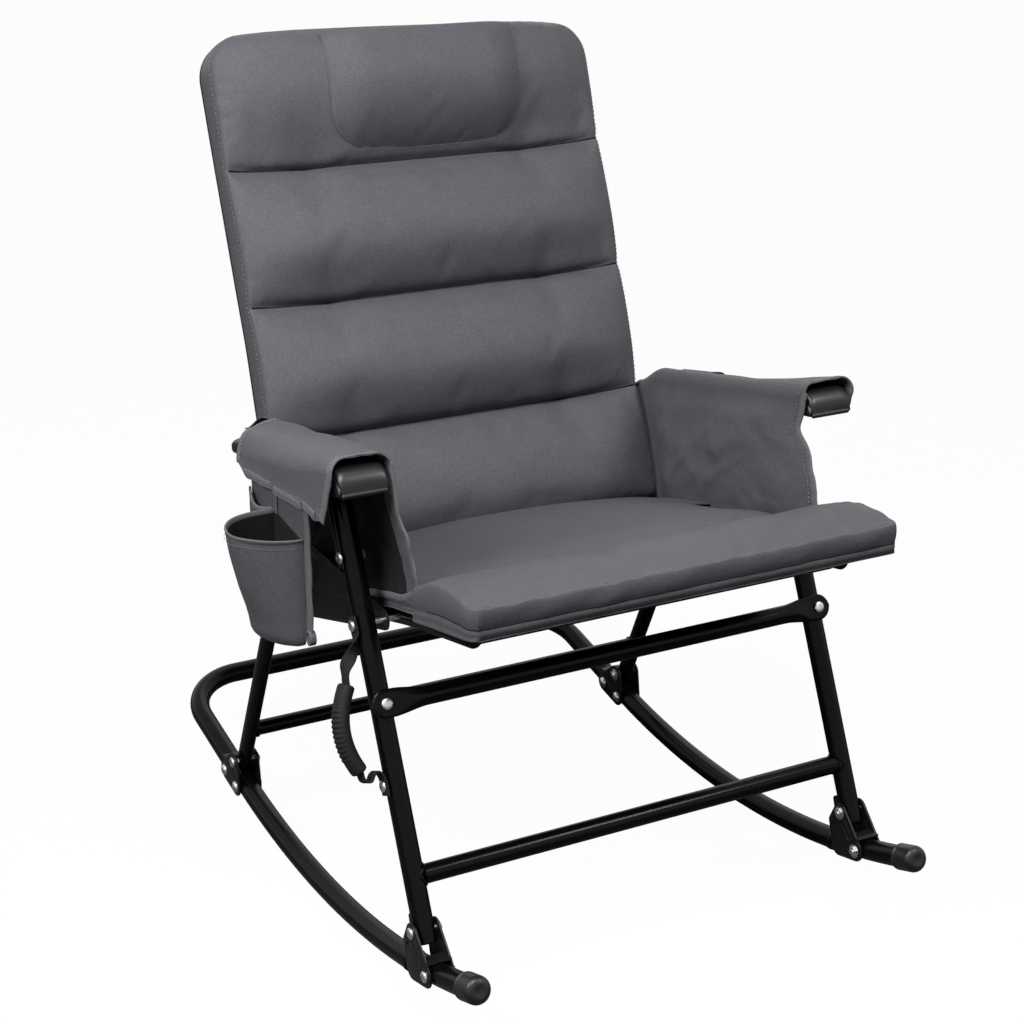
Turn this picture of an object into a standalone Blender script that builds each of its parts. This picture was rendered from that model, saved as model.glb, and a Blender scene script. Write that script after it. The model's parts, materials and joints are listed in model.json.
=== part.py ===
"""Folding rocking camping chair: tube frame on curved rails, padded seat and back, fabric arm covers.

Metres, +Z up. The chair faces -Y, so the sitter's right hand is at -X, on the pocket side.
Lengths are first laid out from the front end of the rails (Y = 0) and the floor (Z = 0). At the end the
whole chair is moved so that the bottom centre of its bounding box is the world origin.
"""

import math

import bpy
from mathutils import Vector

# Sides: name and sign of X.
SIDES = (("right", -1), ("left", 1))

# Fits.
GAP = 0.0003            # between pieces that touch
HOLE_CLEARANCE = 0.0004  # radial, round a bolt
LOOSE_GAP = 0.0015      # between soft pieces and what they lie on
CURVED_GAP = 0.0008     # between a bent tube's facets and what meets them

# Widths, from the back pad outwards: every piece beside the pad takes its place from the one inside it.
SHEET = 0.0025          # of plates and brackets
BACK_HALF_WIDTH = 0.2665
PAD_CLEARANCE = 0.0020  # from the pad to the back's side plate
HINGE_WASHER = 0.0035   # from the back's side plate to the seat's
LEG_CLEARANCE = 0.0105  # from the seat's side plate to the front leg
LEG_RADIUS = 0.0125
ARM_OUTSET = 0.014      # of the armrest's middle from the leg's
SEAT_INSET = 0.0025     # of the seat pad from the back pad
BOLSTER_WING = 0.0155   # of the front bolster beyond the seat pad
SEAT_RAIL_INSET = 0.0285
BACK_TUBE_INSET = 0.0385
BACK_PLATE_X = BACK_HALF_WIDTH + PAD_CLEARANCE  # inner face of the back's side plate
SEAT_PLATE_X = BACK_PLATE_X + SHEET + HINGE_WASHER  # inner face of the seat's side plate
LEG_X = SEAT_PLATE_X + SHEET + LEG_CLEARANCE + LEG_RADIUS  # half the spacing of rails and legs
ARM_X = LEG_X + ARM_OUTSET
SEAT_HALF_WIDTH = BACK_HALF_WIDTH - SEAT_INSET
SEAT_FRONT_HALF_WIDTH = SEAT_HALF_WIDTH + BOLSTER_WING
SEAT_RAIL_X = SEAT_PLATE_X - SEAT_RAIL_INSET
BACK_TUBE_X = BACK_HALF_WIDTH - BACK_TUBE_INSET

# Rocker.
RAIL_RADIUS = 0.0135
RAIL_ARC_RADIUS = 1.170  # of the rail's centre line
RAIL_LOW_Y = 0.413      # where the rail touches the floor
RAIL_FRONT_Y = 0.034    # where the end cap starts
RAIL_JOINT_Y = 0.690    # where rail and hoop meet, inside the rear bracket
HOOP_REAR_Y = 0.902     # centre line of the hoop's back bar
HOOP_CORNER_RADIUS = 0.080
CAP_RADIUS = 0.0165
CAP_LENGTH = 0.034

# Front legs, from the bolt in the front bracket.
FRONT_PIVOT = Vector((0.0, 0.136, 0.0935))
FRONT_LEAN = math.radians(23.3)
LEG_FOOT = 0.015        # leg below its pivot
LOWER_BAR_UP = 0.061    # distances up the leg from its pivot
STRAP_LOW_UP = 0.168
UPPER_BAR_UP = 0.259
SEAT_PIVOT_UP = 0.352
ARM_PIVOT_UP = 0.520
LEG_TOP_UP = 0.534
CROSSBAR_RADIUS = 0.0115
TONGUE_HALF_HEIGHT = 0.0165
TONGUE_THICKNESS = 0.006
TONGUE_LENGTH = 0.040

# Rear legs, from the bolt in the rear bracket.
REAR_PIVOT = Vector((0.0, 0.673, 0.0755))
REAR_LEAN = math.radians(-25.6)
REAR_HALF_WIDTH = 0.0130
REAR_HALF_THICKNESS = 0.0085
REAR_FOOT = 0.012
REAR_BAR_UP = 0.062
REAR_PIN_UP = 0.395
REAR_TOP_UP = 0.409
REAR_BAR_RADIUS = 0.010

# Brackets.
EAR_ROUND = 0.0135
FRONT_RAIL_BOLT_Y = 0.103
REAR_RAIL_BOLT_Y = (0.668, 0.706)
LATCH_PIVOT_BEHIND = 0.0195  # behind the leg's axis
LATCH_PIVOT_UP = -0.010
LATCH_HALF_WIDTH = 0.006
LATCH_ROUND = 0.0045
LATCH_REACH = 0.025

# Bolts.
SHANK_RADIUS = 0.0035
HEAD_RADIUS = 0.0070
HEAD_HEIGHT = 0.0035

# Seat. The crease is where the seat's and the back's surfaces meet, and where they hinge.
CREASE_FROM_SEAT_PIVOT = Vector((0.0, 0.282, -0.040))
SEAT_RAIL_RADIUS = 0.0110
SEAT_RAIL_FRONT_Y = 0.112
SEAT_RAIL_FRONT_Z = 0.4470
SEAT_RAIL_REAR_Y = 0.545
SEAT_RAIL_REAR_Z = 0.3420
PLATE_ROUND = 0.0125
SEAT_FRONT_Y = 0.050
SEAT_BACK_Y = 0.522
SEAT_WING_END_Y = 0.205  # the front bolster is wider than the rest
SEAT_PAD_THICKNESS = 0.034
BOLSTER_RISE = 0.017
BOLSTER_DEPTH = 0.160
SEAT_DISH = 0.010
SEAT_NOSE_DROP = 0.005  # of the top along the front edge
SEAT_NOSE_CORNER = (0.012, 0.018)  # across and along
SEAT_DRAWN_IN = (0.007, 0.017)  # of the side edges, at the bolster and behind it

# Back.
BACK_LEAN = math.radians(20.0)
BACK_HEIGHT = 0.662
BACK_EDGE_THICKNESS = 0.046
BACK_SEAMS_UP = (0.156, 0.324, 0.497)
BACK_CROWN = 0.022
BACK_SEAM_SAG = 0.010
BACK_DRAWN_IN = 0.008   # of the side edges
TOP_CHANNEL_SHARE = 0.62  # the top channel stays full up to the top edge
TOP_EDGE_ROUND = 0.014
TUFT_SHARE = 0.58       # of the half width
TUFT_DEPTH = 0.008
BACK_CORNER = 0.050
BACK_TUBE_RADIUS = 0.0110
BACK_TUBE_TOP_DROP = 0.052
HEADREST_HALF_WIDTH = 0.138
HEADREST_BOTTOM_UP = 0.512
HEADREST_THICKNESS = 0.024
HEADREST_CORNER = 0.055

# Armrests, along their own slope from the pivot on the front leg.
ARM_SLOPE = math.radians(10.0)
ARM_HALF_WIDTH = 0.0305
ARM_WALL = 0.003
ARM_FRONT = 0.107
ARM_REAR = 0.245
ARM_TOP = 0.030         # roof above the pivot
ARM_BOTTOM = -0.010
ARM_TAIL_RISE = 0.012   # of the lower edges at the rear end
ARM_NOSE = 0.020
ARM_BEND = 0.010        # outer radius along the roof's edges
ARM_LUG_ROUND = 0.010   # the inner wall runs on as a lug to the pin on the back
COVER_THICKNESS = 0.003
COVER_FRONT = 0.094
COVER_REAR = 0.196
COVER_HEM_OUTER = (-0.028, 0.006)  # at the cover's front and rear
COVER_HEM_INNER = 0.004

# Soft panels and pockets.
CLOTH = 0.0025
PANEL_FRONT_Y = (0.252, 0.204)  # at the arm and at the seat
PANEL_REAR_Y = 0.532
PANEL_BOTTOM_X = SEAT_HALF_WIDTH + LOOSE_GAP
PANEL_FOLD = 0.003
POCKET_FRONT_Y = 0.303
POCKET_REAR_Y = 0.478
POCKET_BOTTOM_Z = 0.388
CUP_FRONT_Y = 0.310
CUP_REAR_Y = 0.430
CUP_BULGE = 0.068
CUP_HEIGHT = 0.127
CUP_WALL = 0.003

# Carry handle.
STRAP_HALF_WIDTH = 0.010
STRAP_THICKNESS = 0.0024
GRIP_LOW_UP = 0.190
GRIP_LENGTH = 0.098
GRIP_LOW_OUT = 0.026
GRIP_HIGH_OUT = 0.022
GRIP_BOW = 0.014
GRIP_RIB = 0.06         # share of the grip's width
GRIP_HALF_WIDTH = 0.0130
GRIP_HALF_DEPTH = 0.0095

TUBE_SIDES = 16
BOLT_SIDES = 12

UP_LEG = Vector((0.0, math.sin(FRONT_LEAN), math.cos(FRONT_LEAN)))
BEHIND_LEG = Vector((0.0, math.cos(FRONT_LEAN), -math.sin(FRONT_LEAN)))
UP_REAR_LEG = Vector((0.0, math.sin(REAR_LEAN), math.cos(REAR_LEAN)))
UP_BACK = Vector((0.0, math.sin(BACK_LEAN), math.cos(BACK_LEAN)))
OUT_OF_BACK = Vector((0.0, -math.cos(BACK_LEAN), math.sin(BACK_LEAN)))
ALONG_ARM = Vector((0.0, math.cos(ARM_SLOPE), -math.sin(ARM_SLOPE)))
ABOVE_ARM = Vector((0.0, math.sin(ARM_SLOPE), math.cos(ARM_SLOPE)))
X_AXIS = Vector((1.0, 0.0, 0.0))

SEAT_PIVOT = FRONT_PIVOT + SEAT_PIVOT_UP * UP_LEG
ARM_PIVOT = FRONT_PIVOT + ARM_PIVOT_UP * UP_LEG
REAR_PIN = REAR_PIVOT + REAR_PIN_UP * UP_REAR_LEG
CREASE = SEAT_PIVOT + CREASE_FROM_SEAT_PIVOT
ARM_REAR_PIN = ARM_PIVOT + CREASE_FROM_SEAT_PIVOT
EAR_INNER = RAIL_RADIUS + GAP
EAR_OUTER = EAR_INNER + SHEET
LATCH_PIVOT = FRONT_PIVOT + LATCH_PIVOT_UP * UP_LEG + LATCH_PIVOT_BEHIND * BEHIND_LEG

# Each rigid body's origin lies on the axis that it turns about.
BODY_ORIGIN = {
    "rocker": Vector((0.0, RAIL_LOW_Y, 0.0)),
    "rear_legs": REAR_PIVOT,
    "seat": REAR_PIN,
    "front_legs": SEAT_PIVOT,
    "back": CREASE,
    "armrests": ARM_PIVOT,
    "latch_right": LATCH_PIVOT,
    "latch_left": LATCH_PIVOT,
}


def clear_scene():
    for old in list(bpy.data.objects):
        bpy.data.objects.remove(old, do_unlink=True)


def make_material(name, colour, roughness, metallic=0.0):
    material = bpy.data.materials.new(name)
    material.use_nodes = True
    shader = material.node_tree.nodes["Principled BSDF"]
    shader.inputs["Base Color"].default_value = (*colour, 1.0)
    shader.inputs["Roughness"].default_value = roughness
    shader.inputs["Metallic"].default_value = metallic
    material.diffuse_color = (*colour, 1.0)
    return material


def make_materials():
    return {
        "tube": make_material("black_powder_coat", (0.012, 0.012, 0.013), 0.38, 0.2),
        "sheet": make_material("black_sheet_steel", (0.016, 0.016, 0.017), 0.45, 0.2),
        "zinc": make_material("zinc_plate", (0.62, 0.63, 0.65), 0.30, 1.0),
        "plastic": make_material("black_plastic", (0.014, 0.014, 0.015), 0.50),
        "rubber": make_material("black_rubber", (0.016, 0.016, 0.017), 0.65),
        "webbing": make_material("black_webbing", (0.013, 0.013, 0.014), 0.80),
        "fabric": make_material("charcoal_fabric", (0.088, 0.085, 0.095), 0.72),
    }


# Modelling helpers

def loft(name, rings, material, body, smooth=True):
    """One closed solid through rings of points, with flat ends."""
    count = len(rings[0])
    points = [tuple(point - BODY_ORIGIN[body]) for ring in rings for point in ring]
    faces = []
    for low in range(len(rings) - 1):
        for step in range(count):
            following = (step + 1) % count
            first = low * count
            second = first + count
            faces.append((first + step, first + following, second + following, second + step))
    faces.append(tuple(reversed(range(count))))
    last = (len(rings) - 1) * count
    faces.append(tuple(range(last, last + count)))
    mesh = bpy.data.meshes.new(name)
    mesh.from_pydata(points, [], faces)
    face_outwards(mesh)
    if smooth:
        mesh.shade_smooth()
        mesh.set_sharp_from_angle(angle=math.radians(35))
    piece = bpy.data.objects.new(name, mesh)
    piece.location = BODY_ORIGIN[body]
    piece.data.materials.append(material)
    bpy.context.scene.collection.objects.link(piece)
    return piece


def face_outwards(mesh):
    """Turn the faces round where their signed volume comes out negative."""
    mesh.update()
    volume = 0.0
    for polygon in mesh.polygons:
        corners = [mesh.vertices[index].co for index in polygon.vertices]
        for second, third in zip(corners[1:-1], corners[2:]):
            volume += corners[0].dot(second.cross(third))
    if volume < 0.0:
        mesh.flip_normals()


def circle(centre, axis_a, axis_b, radius_a, radius_b=None, sides=TUBE_SIDES):
    radius_b = radius_a if radius_b is None else radius_b
    ring = []
    for step in range(sides):
        angle = 2.0 * math.pi * step / sides
        ring.append(centre + axis_a * (radius_a * math.cos(angle)) + axis_b * (radius_b * math.sin(angle)))
    return ring


def sweep(name, path, radius, material, body, sides=TUBE_SIDES):
    """A round tube along a path, its section carried along without twist."""
    side = None
    rings = []
    for index, point in enumerate(path):
        before = path[max(index - 1, 0)]
        after = path[min(index + 1, len(path) - 1)]
        tangent = (after - before).normalized()
        if side is None:
            side = tangent.orthogonal().normalized()
        side = (side - tangent * side.dot(tangent)).normalized()
        rings.append(circle(point, side, tangent.cross(side), radius, sides=sides))
    return loft(name, rings, material, body)


def turned(name, base, axis, profile, material, body, sides=BOLT_SIDES):
    """A turned piece: profile holds (distance along the axis, radius)."""
    side = axis.orthogonal().normalized()
    other = axis.cross(side)
    rings = [circle(base + axis * along, side, other, radius, sides=sides) for along, radius in profile]
    return loft(name, rings, material, body)


def plate(name, outline, inner, outer, material, body):
    """A flat plate: outline of points in the YZ plane, between two values of X."""
    rings = []
    for x in (inner, outer):
        rings.append([Vector((x, point.y, point.z)) for point in outline])
    return loft(name, rings, material, body)


def rounded_hull(centres, radii, sides=24):
    """Outline in the YZ plane round a convex set of circles."""
    points = []
    for centre, radius in zip(centres, radii):
        points += circle(centre, Vector((0.0, 1.0, 0.0)), Vector((0.0, 0.0, 1.0)), radius, sides=sides)
    points.sort(key=lambda point: (point.y, point.z))

    def half(ordered):
        chain = []
        for point in ordered:
            while len(chain) > 1:
                first = chain[-1] - chain[-2]
                second = point - chain[-1]
                if first.y * second.z - first.z * second.y > 1e-9:
                    break
                chain.pop()
            chain.append(point)
        return chain[:-1]

    return half(points) + half(points[::-1])


def hide_cutter(cutter):
    cutter.hide_render = True
    cutter.display_type = "WIRE"


def combine(piece, other, operation):
    change = piece.modifiers.new(operation.lower(), "BOOLEAN")
    change.operation = operation
    change.solver = "EXACT"
    change.object = other
    hide_cutter(other)


def drill(piece, centre, axis, length, body, radius=SHANK_RADIUS + HOLE_CLEARANCE):
    """A round hole, centred on a point, through a piece."""
    ends = ((-0.5 * length, radius), (0.5 * length, radius))
    cutter = turned(piece.name + "_drill", centre, axis, ends, None, body)
    combine(piece, cutter, "DIFFERENCE")


def bolt(name, place, sign, head_x, tail_x, material, body, nut=True):
    """A bolt along X. head_x and tail_x are distances from the middle plane."""
    towards_tail = 1.0 if tail_x > head_x else -1.0
    grip = abs(tail_x - head_x)
    profile = [(-HEAD_HEIGHT, 0.55 * HEAD_RADIUS), (-0.5 * HEAD_HEIGHT, HEAD_RADIUS), (0.0, HEAD_RADIUS),
               (0.0, SHANK_RADIUS), (grip, SHANK_RADIUS)]
    if nut:
        profile += [(grip, HEAD_RADIUS), (grip + HEAD_HEIGHT, HEAD_RADIUS)]
    base = Vector((sign * head_x, place.y, place.z))
    return turned(name, base, X_AXIS * (sign * towards_tail), profile, material, body)


# Rocker

def rail_point(x, y):
    """On the rail's arc up to its joint, and on the straight line that the hoop carries on along."""
    bent = min(y, RAIL_JOINT_Y) - RAIL_LOW_Y
    fall = math.sqrt(RAIL_ARC_RADIUS ** 2 - bent ** 2)
    rise = max(y - RAIL_JOINT_Y, 0.0) * bent / fall
    return Vector((x, y, RAIL_RADIUS + RAIL_ARC_RADIUS - fall + rise))


def rail_path(x, start, end, steps):
    return [rail_point(x, start + (end - start) * step / steps) for step in range(steps + 1)]


def hoop_path():
    """From the right rail's end round the back to the left rail's end."""
    bend_start = HOOP_REAR_Y - HOOP_CORNER_RADIUS
    centre_x = LEG_X - HOOP_CORNER_RADIUS
    right = rail_path(-LEG_X, RAIL_JOINT_Y + CURVED_GAP, bend_start, 4)
    for step in range(1, 9):
        angle = 0.5 * math.pi * step / 8
        y = bend_start + HOOP_CORNER_RADIUS * math.sin(angle)
        right.append(rail_point(-centre_x - HOOP_CORNER_RADIUS * math.cos(angle), y))
    left = [Vector((-point.x, point.y, point.z)) for point in reversed(right)]
    return right + left


def make_rocker(paint):
    for side, sign in SIDES:
        x = sign * LEG_X
        rail = sweep(f"rocker_rail_{side}", rail_path(x, RAIL_FRONT_Y, RAIL_JOINT_Y, 22), RAIL_RADIUS,
                     paint["tube"], "rocker")
        front = rail_point(x, RAIL_FRONT_Y)
        forwards = (front - rail_point(x, RAIL_FRONT_Y + 0.01)).normalized()
        cap = [(GAP, CAP_RADIUS), (CAP_LENGTH - 0.008, CAP_RADIUS), (CAP_LENGTH - 0.002, 0.87 * CAP_RADIUS),
               (CAP_LENGTH, 0.6 * CAP_RADIUS)]
        turned(f"rocker_cap_{side}", front, forwards, cap, paint["plastic"], "rocker", TUBE_SIDES)
        make_front_bracket(side, sign, rail, paint)
        make_rear_bracket(side, sign, paint)
    sweep("rocker_hoop", hoop_path(), RAIL_RADIUS, paint["tube"], "rocker")


def make_bracket(side, sign, place, outline, web_y, holes, paint):
    """Two sheet ears beside the rail, joined by a web that lies on top of it."""
    ears = []
    for inner, outer in ((EAR_INNER, EAR_OUTER), (-EAR_INNER, -EAR_OUTER)):
        ears.append(plate(f"{place}_bracket_{side}", outline, sign * LEG_X + inner, sign * LEG_X + outer,
                          paint["sheet"], "rocker"))
    bracket, inner_ear = ears
    bracket.name = f"{place}_bracket_{side}"
    inner_ear.name = f"{place}_bracket_{side}_second_ear"
    low = max(rail_point(0.0, y).z for y in web_y) + RAIL_RADIUS + CURVED_GAP
    web = []
    for y, z in ((web_y[0], low), (web_y[1], low), (web_y[1], low + SHEET), (web_y[0], low + SHEET)):
        web.append(Vector((0.0, y, z)))
    reach = 0.5 * (EAR_INNER + EAR_OUTER)
    bridge = plate(f"{place}_bracket_{side}_web", web, sign * LEG_X - reach, sign * LEG_X + reach,
                   paint["sheet"], "rocker")
    combine(bracket, bridge, "UNION")
    combine(bracket, inner_ear, "UNION")
    for hole in holes:
        drill(bracket, Vector((sign * LEG_X, hole.y, hole.z)), X_AXIS, 4.0 * EAR_OUTER, "rocker")
    return bracket


def make_front_bracket(side, sign, rail, paint):
    rail_bolt = rail_point(sign * LEG_X, FRONT_RAIL_BOLT_Y)
    heel = rail_point(0.0, FRONT_PIVOT.y)
    outline = rounded_hull((rail_bolt, FRONT_PIVOT, heel, LATCH_PIVOT),
                           (EAR_ROUND, 0.9 * EAR_ROUND, 0.9 * EAR_ROUND, 2.0 * SHANK_RADIUS))
    outline = [Vector((0.0, point.y, point.z)) for point in outline]
    web_y = (FRONT_RAIL_BOLT_Y - 0.5 * EAR_ROUND, FRONT_RAIL_BOLT_Y + 0.8 * EAR_ROUND)
    make_bracket(side, sign, "front", outline, web_y, (rail_bolt, FRONT_PIVOT, LATCH_PIVOT), paint)
    drill(rail, rail_bolt, X_AXIS, 4.0 * RAIL_RADIUS, "rocker")
    for name, place in (("front_rail_bolt", rail_bolt), ("front_foot_bolt", FRONT_PIVOT)):
        bolt(f"{name}_{side}", place, sign, LEG_X + EAR_OUTER + GAP, LEG_X - EAR_OUTER - GAP,
             paint["zinc"], "rocker")
    make_latch(side, sign, paint)


def make_latch(side, sign, paint):
    """A hook on its own cross pin, that bears on the back of the leg's foot."""
    hook = LATCH_PIVOT + LATCH_REACH * UP_LEG
    clear = hook - FRONT_PIVOT
    behind = clear.dot(BEHIND_LEG) - (LEG_RADIUS + LATCH_ROUND + GAP)
    tip = hook - behind * BEHIND_LEG
    outline = rounded_hull((LATCH_PIVOT, hook - 0.4 * behind * BEHIND_LEG, tip),
                           (LATCH_ROUND + 0.0015, LATCH_ROUND, LATCH_ROUND), sides=16)
    outline = [Vector((0.0, point.y, point.z)) for point in outline]
    body = f"latch_{side}"
    latch = plate(f"front_latch_{side}", outline, sign * LEG_X - LATCH_HALF_WIDTH,
                  sign * LEG_X + LATCH_HALF_WIDTH, paint["sheet"], body)
    half_pin = EAR_OUTER + GAP + 0.001
    pin = turned(f"front_latch_{side}_pin", Vector((sign * LEG_X, LATCH_PIVOT.y, LATCH_PIVOT.z)), X_AXIS,
                 ((-half_pin, SHANK_RADIUS), (half_pin, SHANK_RADIUS)), paint["sheet"], body)
    combine(latch, pin, "UNION")


def make_rear_bracket(side, sign, paint):
    rivets = [rail_point(sign * LEG_X, y) for y in REAR_RAIL_BOLT_Y]
    outline = rounded_hull((rivets[0], rivets[1], REAR_PIVOT),
                           (0.95 * EAR_ROUND, 0.95 * EAR_ROUND, EAR_ROUND))
    outline = [Vector((0.0, point.y, point.z)) for point in outline]
    web_y = (REAR_RAIL_BOLT_Y[1] - 0.2 * EAR_ROUND, REAR_RAIL_BOLT_Y[1] + 0.6 * EAR_ROUND)
    bracket = make_bracket(side, sign, "rear", outline, web_y, (REAR_PIVOT,), paint)
    for rivet in rivets:
        for way in (-1.0, 1.0):
            base = Vector((rivet.x + way * (EAR_OUTER - 0.5 * SHEET), rivet.y, rivet.z))
            head = ((0.0, HEAD_RADIUS), (0.5 * SHEET + 0.4 * HEAD_HEIGHT, HEAD_RADIUS),
                    (0.5 * SHEET + HEAD_HEIGHT, 0.55 * HEAD_RADIUS))
            cutter = turned(f"rear_bracket_{side}_rivet", base, X_AXIS * way, head, None, "rocker")
            combine(bracket, cutter, "UNION")
    bolt(f"rear_foot_bolt_{side}", REAR_PIVOT, sign, LEG_X + EAR_OUTER + GAP, LEG_X - EAR_OUTER - GAP,
         paint["zinc"], "rocker")


# Legs

def leg_point(x, up, behind=0.0):
    return Vector((x, 0.0, 0.0)) + FRONT_PIVOT + up * UP_LEG + behind * BEHIND_LEG


def make_front_legs(paint):
    bar_behind = -(LEG_RADIUS + GAP + 0.5 * TONGUE_THICKNESS)
    for side, sign in SIDES:
        x = sign * LEG_X
        body = "front_legs"
        ends = [circle(leg_point(x, up), X_AXIS, BEHIND_LEG, LEG_RADIUS) for up in (-LEG_FOOT, LEG_TOP_UP)]
        leg = loft(f"front_leg_{side}", ends, paint["tube"], body)
        drill(leg, leg_point(x, SEAT_PIVOT_UP), X_AXIS, 4.0 * LEG_RADIUS, body)
        drill(leg, leg_point(x, ARM_PIVOT_UP), X_AXIS, 4.0 * LEG_RADIUS, body)
        drill(leg, leg_point(x, UPPER_BAR_UP, -LEG_RADIUS), BEHIND_LEG, 1.6 * LEG_RADIUS, body)
        cut_foot_slot(leg, x, body)
        head = leg_point(x, UPPER_BAR_UP, bar_behind - 0.5 * TONGUE_THICKNESS - GAP)
        screw = [(-HEAD_HEIGHT, 0.55 * HEAD_RADIUS), (-0.5 * HEAD_HEIGHT, HEAD_RADIUS), (0.0, HEAD_RADIUS),
                 (0.0, SHANK_RADIUS), (TONGUE_THICKNESS + 0.6 * LEG_RADIUS, SHANK_RADIUS)]
        turned(f"crossbar_bolt_{side}", head, BEHIND_LEG, screw, paint["zinc"], body)
    make_upper_crossbar(bar_behind, paint)
    inside = LEG_X - LEG_RADIUS - GAP
    path = [leg_point(-inside, LOWER_BAR_UP), leg_point(inside, LOWER_BAR_UP)]
    sweep("lower_crossbar", path, CROSSBAR_RADIUS, paint["tube"], "front_legs")


def cut_foot_slot(leg, x, body):
    """The foot hooks forwards onto its bolt through a slot that is open at the back."""
    half = SHANK_RADIUS + HOLE_CLEARANCE
    profile = [leg_point(x, half, -half), leg_point(x, half, 2.0 * LEG_RADIUS),
               leg_point(x, -half, 2.0 * LEG_RADIUS), leg_point(x, -half, -half)]
    slot = plate(leg.name + "_slot", profile, x - 2.0 * LEG_RADIUS, x + 2.0 * LEG_RADIUS, None, body)
    combine(leg, slot, "DIFFERENCE")


def make_upper_crossbar(behind, paint):
    """A round tube with its ends pressed flat against the front of the legs."""
    end = LEG_X + TONGUE_HALF_HEIGHT
    flat = (TONGUE_HALF_HEIGHT, 0.5 * TONGUE_THICKNESS)
    half = [(end, (0.45 * TONGUE_HALF_HEIGHT, flat[1])),
            (end - 0.006, (0.85 * TONGUE_HALF_HEIGHT, flat[1])),
            (LEG_X, flat), (LEG_X - 0.5 * TONGUE_LENGTH, flat),
            (LEG_X - TONGUE_LENGTH, (CROSSBAR_RADIUS, CROSSBAR_RADIUS))]
    stations = [(-x, shape) for x, shape in half] + [(x, shape) for x, shape in reversed(half)]
    rings = []
    for x, (tall, deep) in stations:
        rings.append(circle(leg_point(x, UPPER_BAR_UP, behind), UP_LEG, BEHIND_LEG, tall, deep))
    bar = loft("upper_crossbar", rings, paint["tube"], "front_legs")
    for _, sign in SIDES:
        drill(bar, leg_point(sign * LEG_X, UPPER_BAR_UP, behind), BEHIND_LEG, 4.0 * TONGUE_THICKNESS,
              "front_legs")


def make_rear_legs(paint):
    across = UP_REAR_LEG.cross(X_AXIS)
    for side, sign in SIDES:
        base = Vector((sign * LEG_X, REAR_PIVOT.y, REAR_PIVOT.z))
        ends = []
        for up in (-REAR_FOOT, REAR_TOP_UP):
            ends.append(circle(base + up * UP_REAR_LEG, X_AXIS, across, REAR_HALF_THICKNESS,
                               REAR_HALF_WIDTH))
        leg = loft(f"rear_leg_{side}", ends, paint["tube"], "rear_legs")
        for up in (0.0, REAR_PIN_UP):
            drill(leg, base + up * UP_REAR_LEG, X_AXIS, 6.0 * REAR_HALF_THICKNESS, "rear_legs")
    inside = LEG_X - REAR_HALF_THICKNESS - GAP
    place = REAR_PIVOT + REAR_BAR_UP * UP_REAR_LEG
    path = [Vector((-inside, place.y, place.z)), Vector((inside, place.y, place.z))]
    sweep("rear_crossbar", path, REAR_BAR_RADIUS, paint["tube"], "rear_legs")


# Seat

def seat_rail_z(y):
    """Height of the seat rail's centre line: straight runs that meet at the seat pivot."""
    if y < SEAT_PIVOT.y:
        share = (y - SEAT_RAIL_FRONT_Y) / (SEAT_PIVOT.y - SEAT_RAIL_FRONT_Y)
        return SEAT_RAIL_FRONT_Z + share * (SEAT_PIVOT.z - SEAT_RAIL_FRONT_Z)
    share = (y - SEAT_PIVOT.y) / (SEAT_RAIL_REAR_Y - SEAT_PIVOT.y)
    return SEAT_PIVOT.z + share * (SEAT_RAIL_REAR_Z - SEAT_PIVOT.z)


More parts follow.
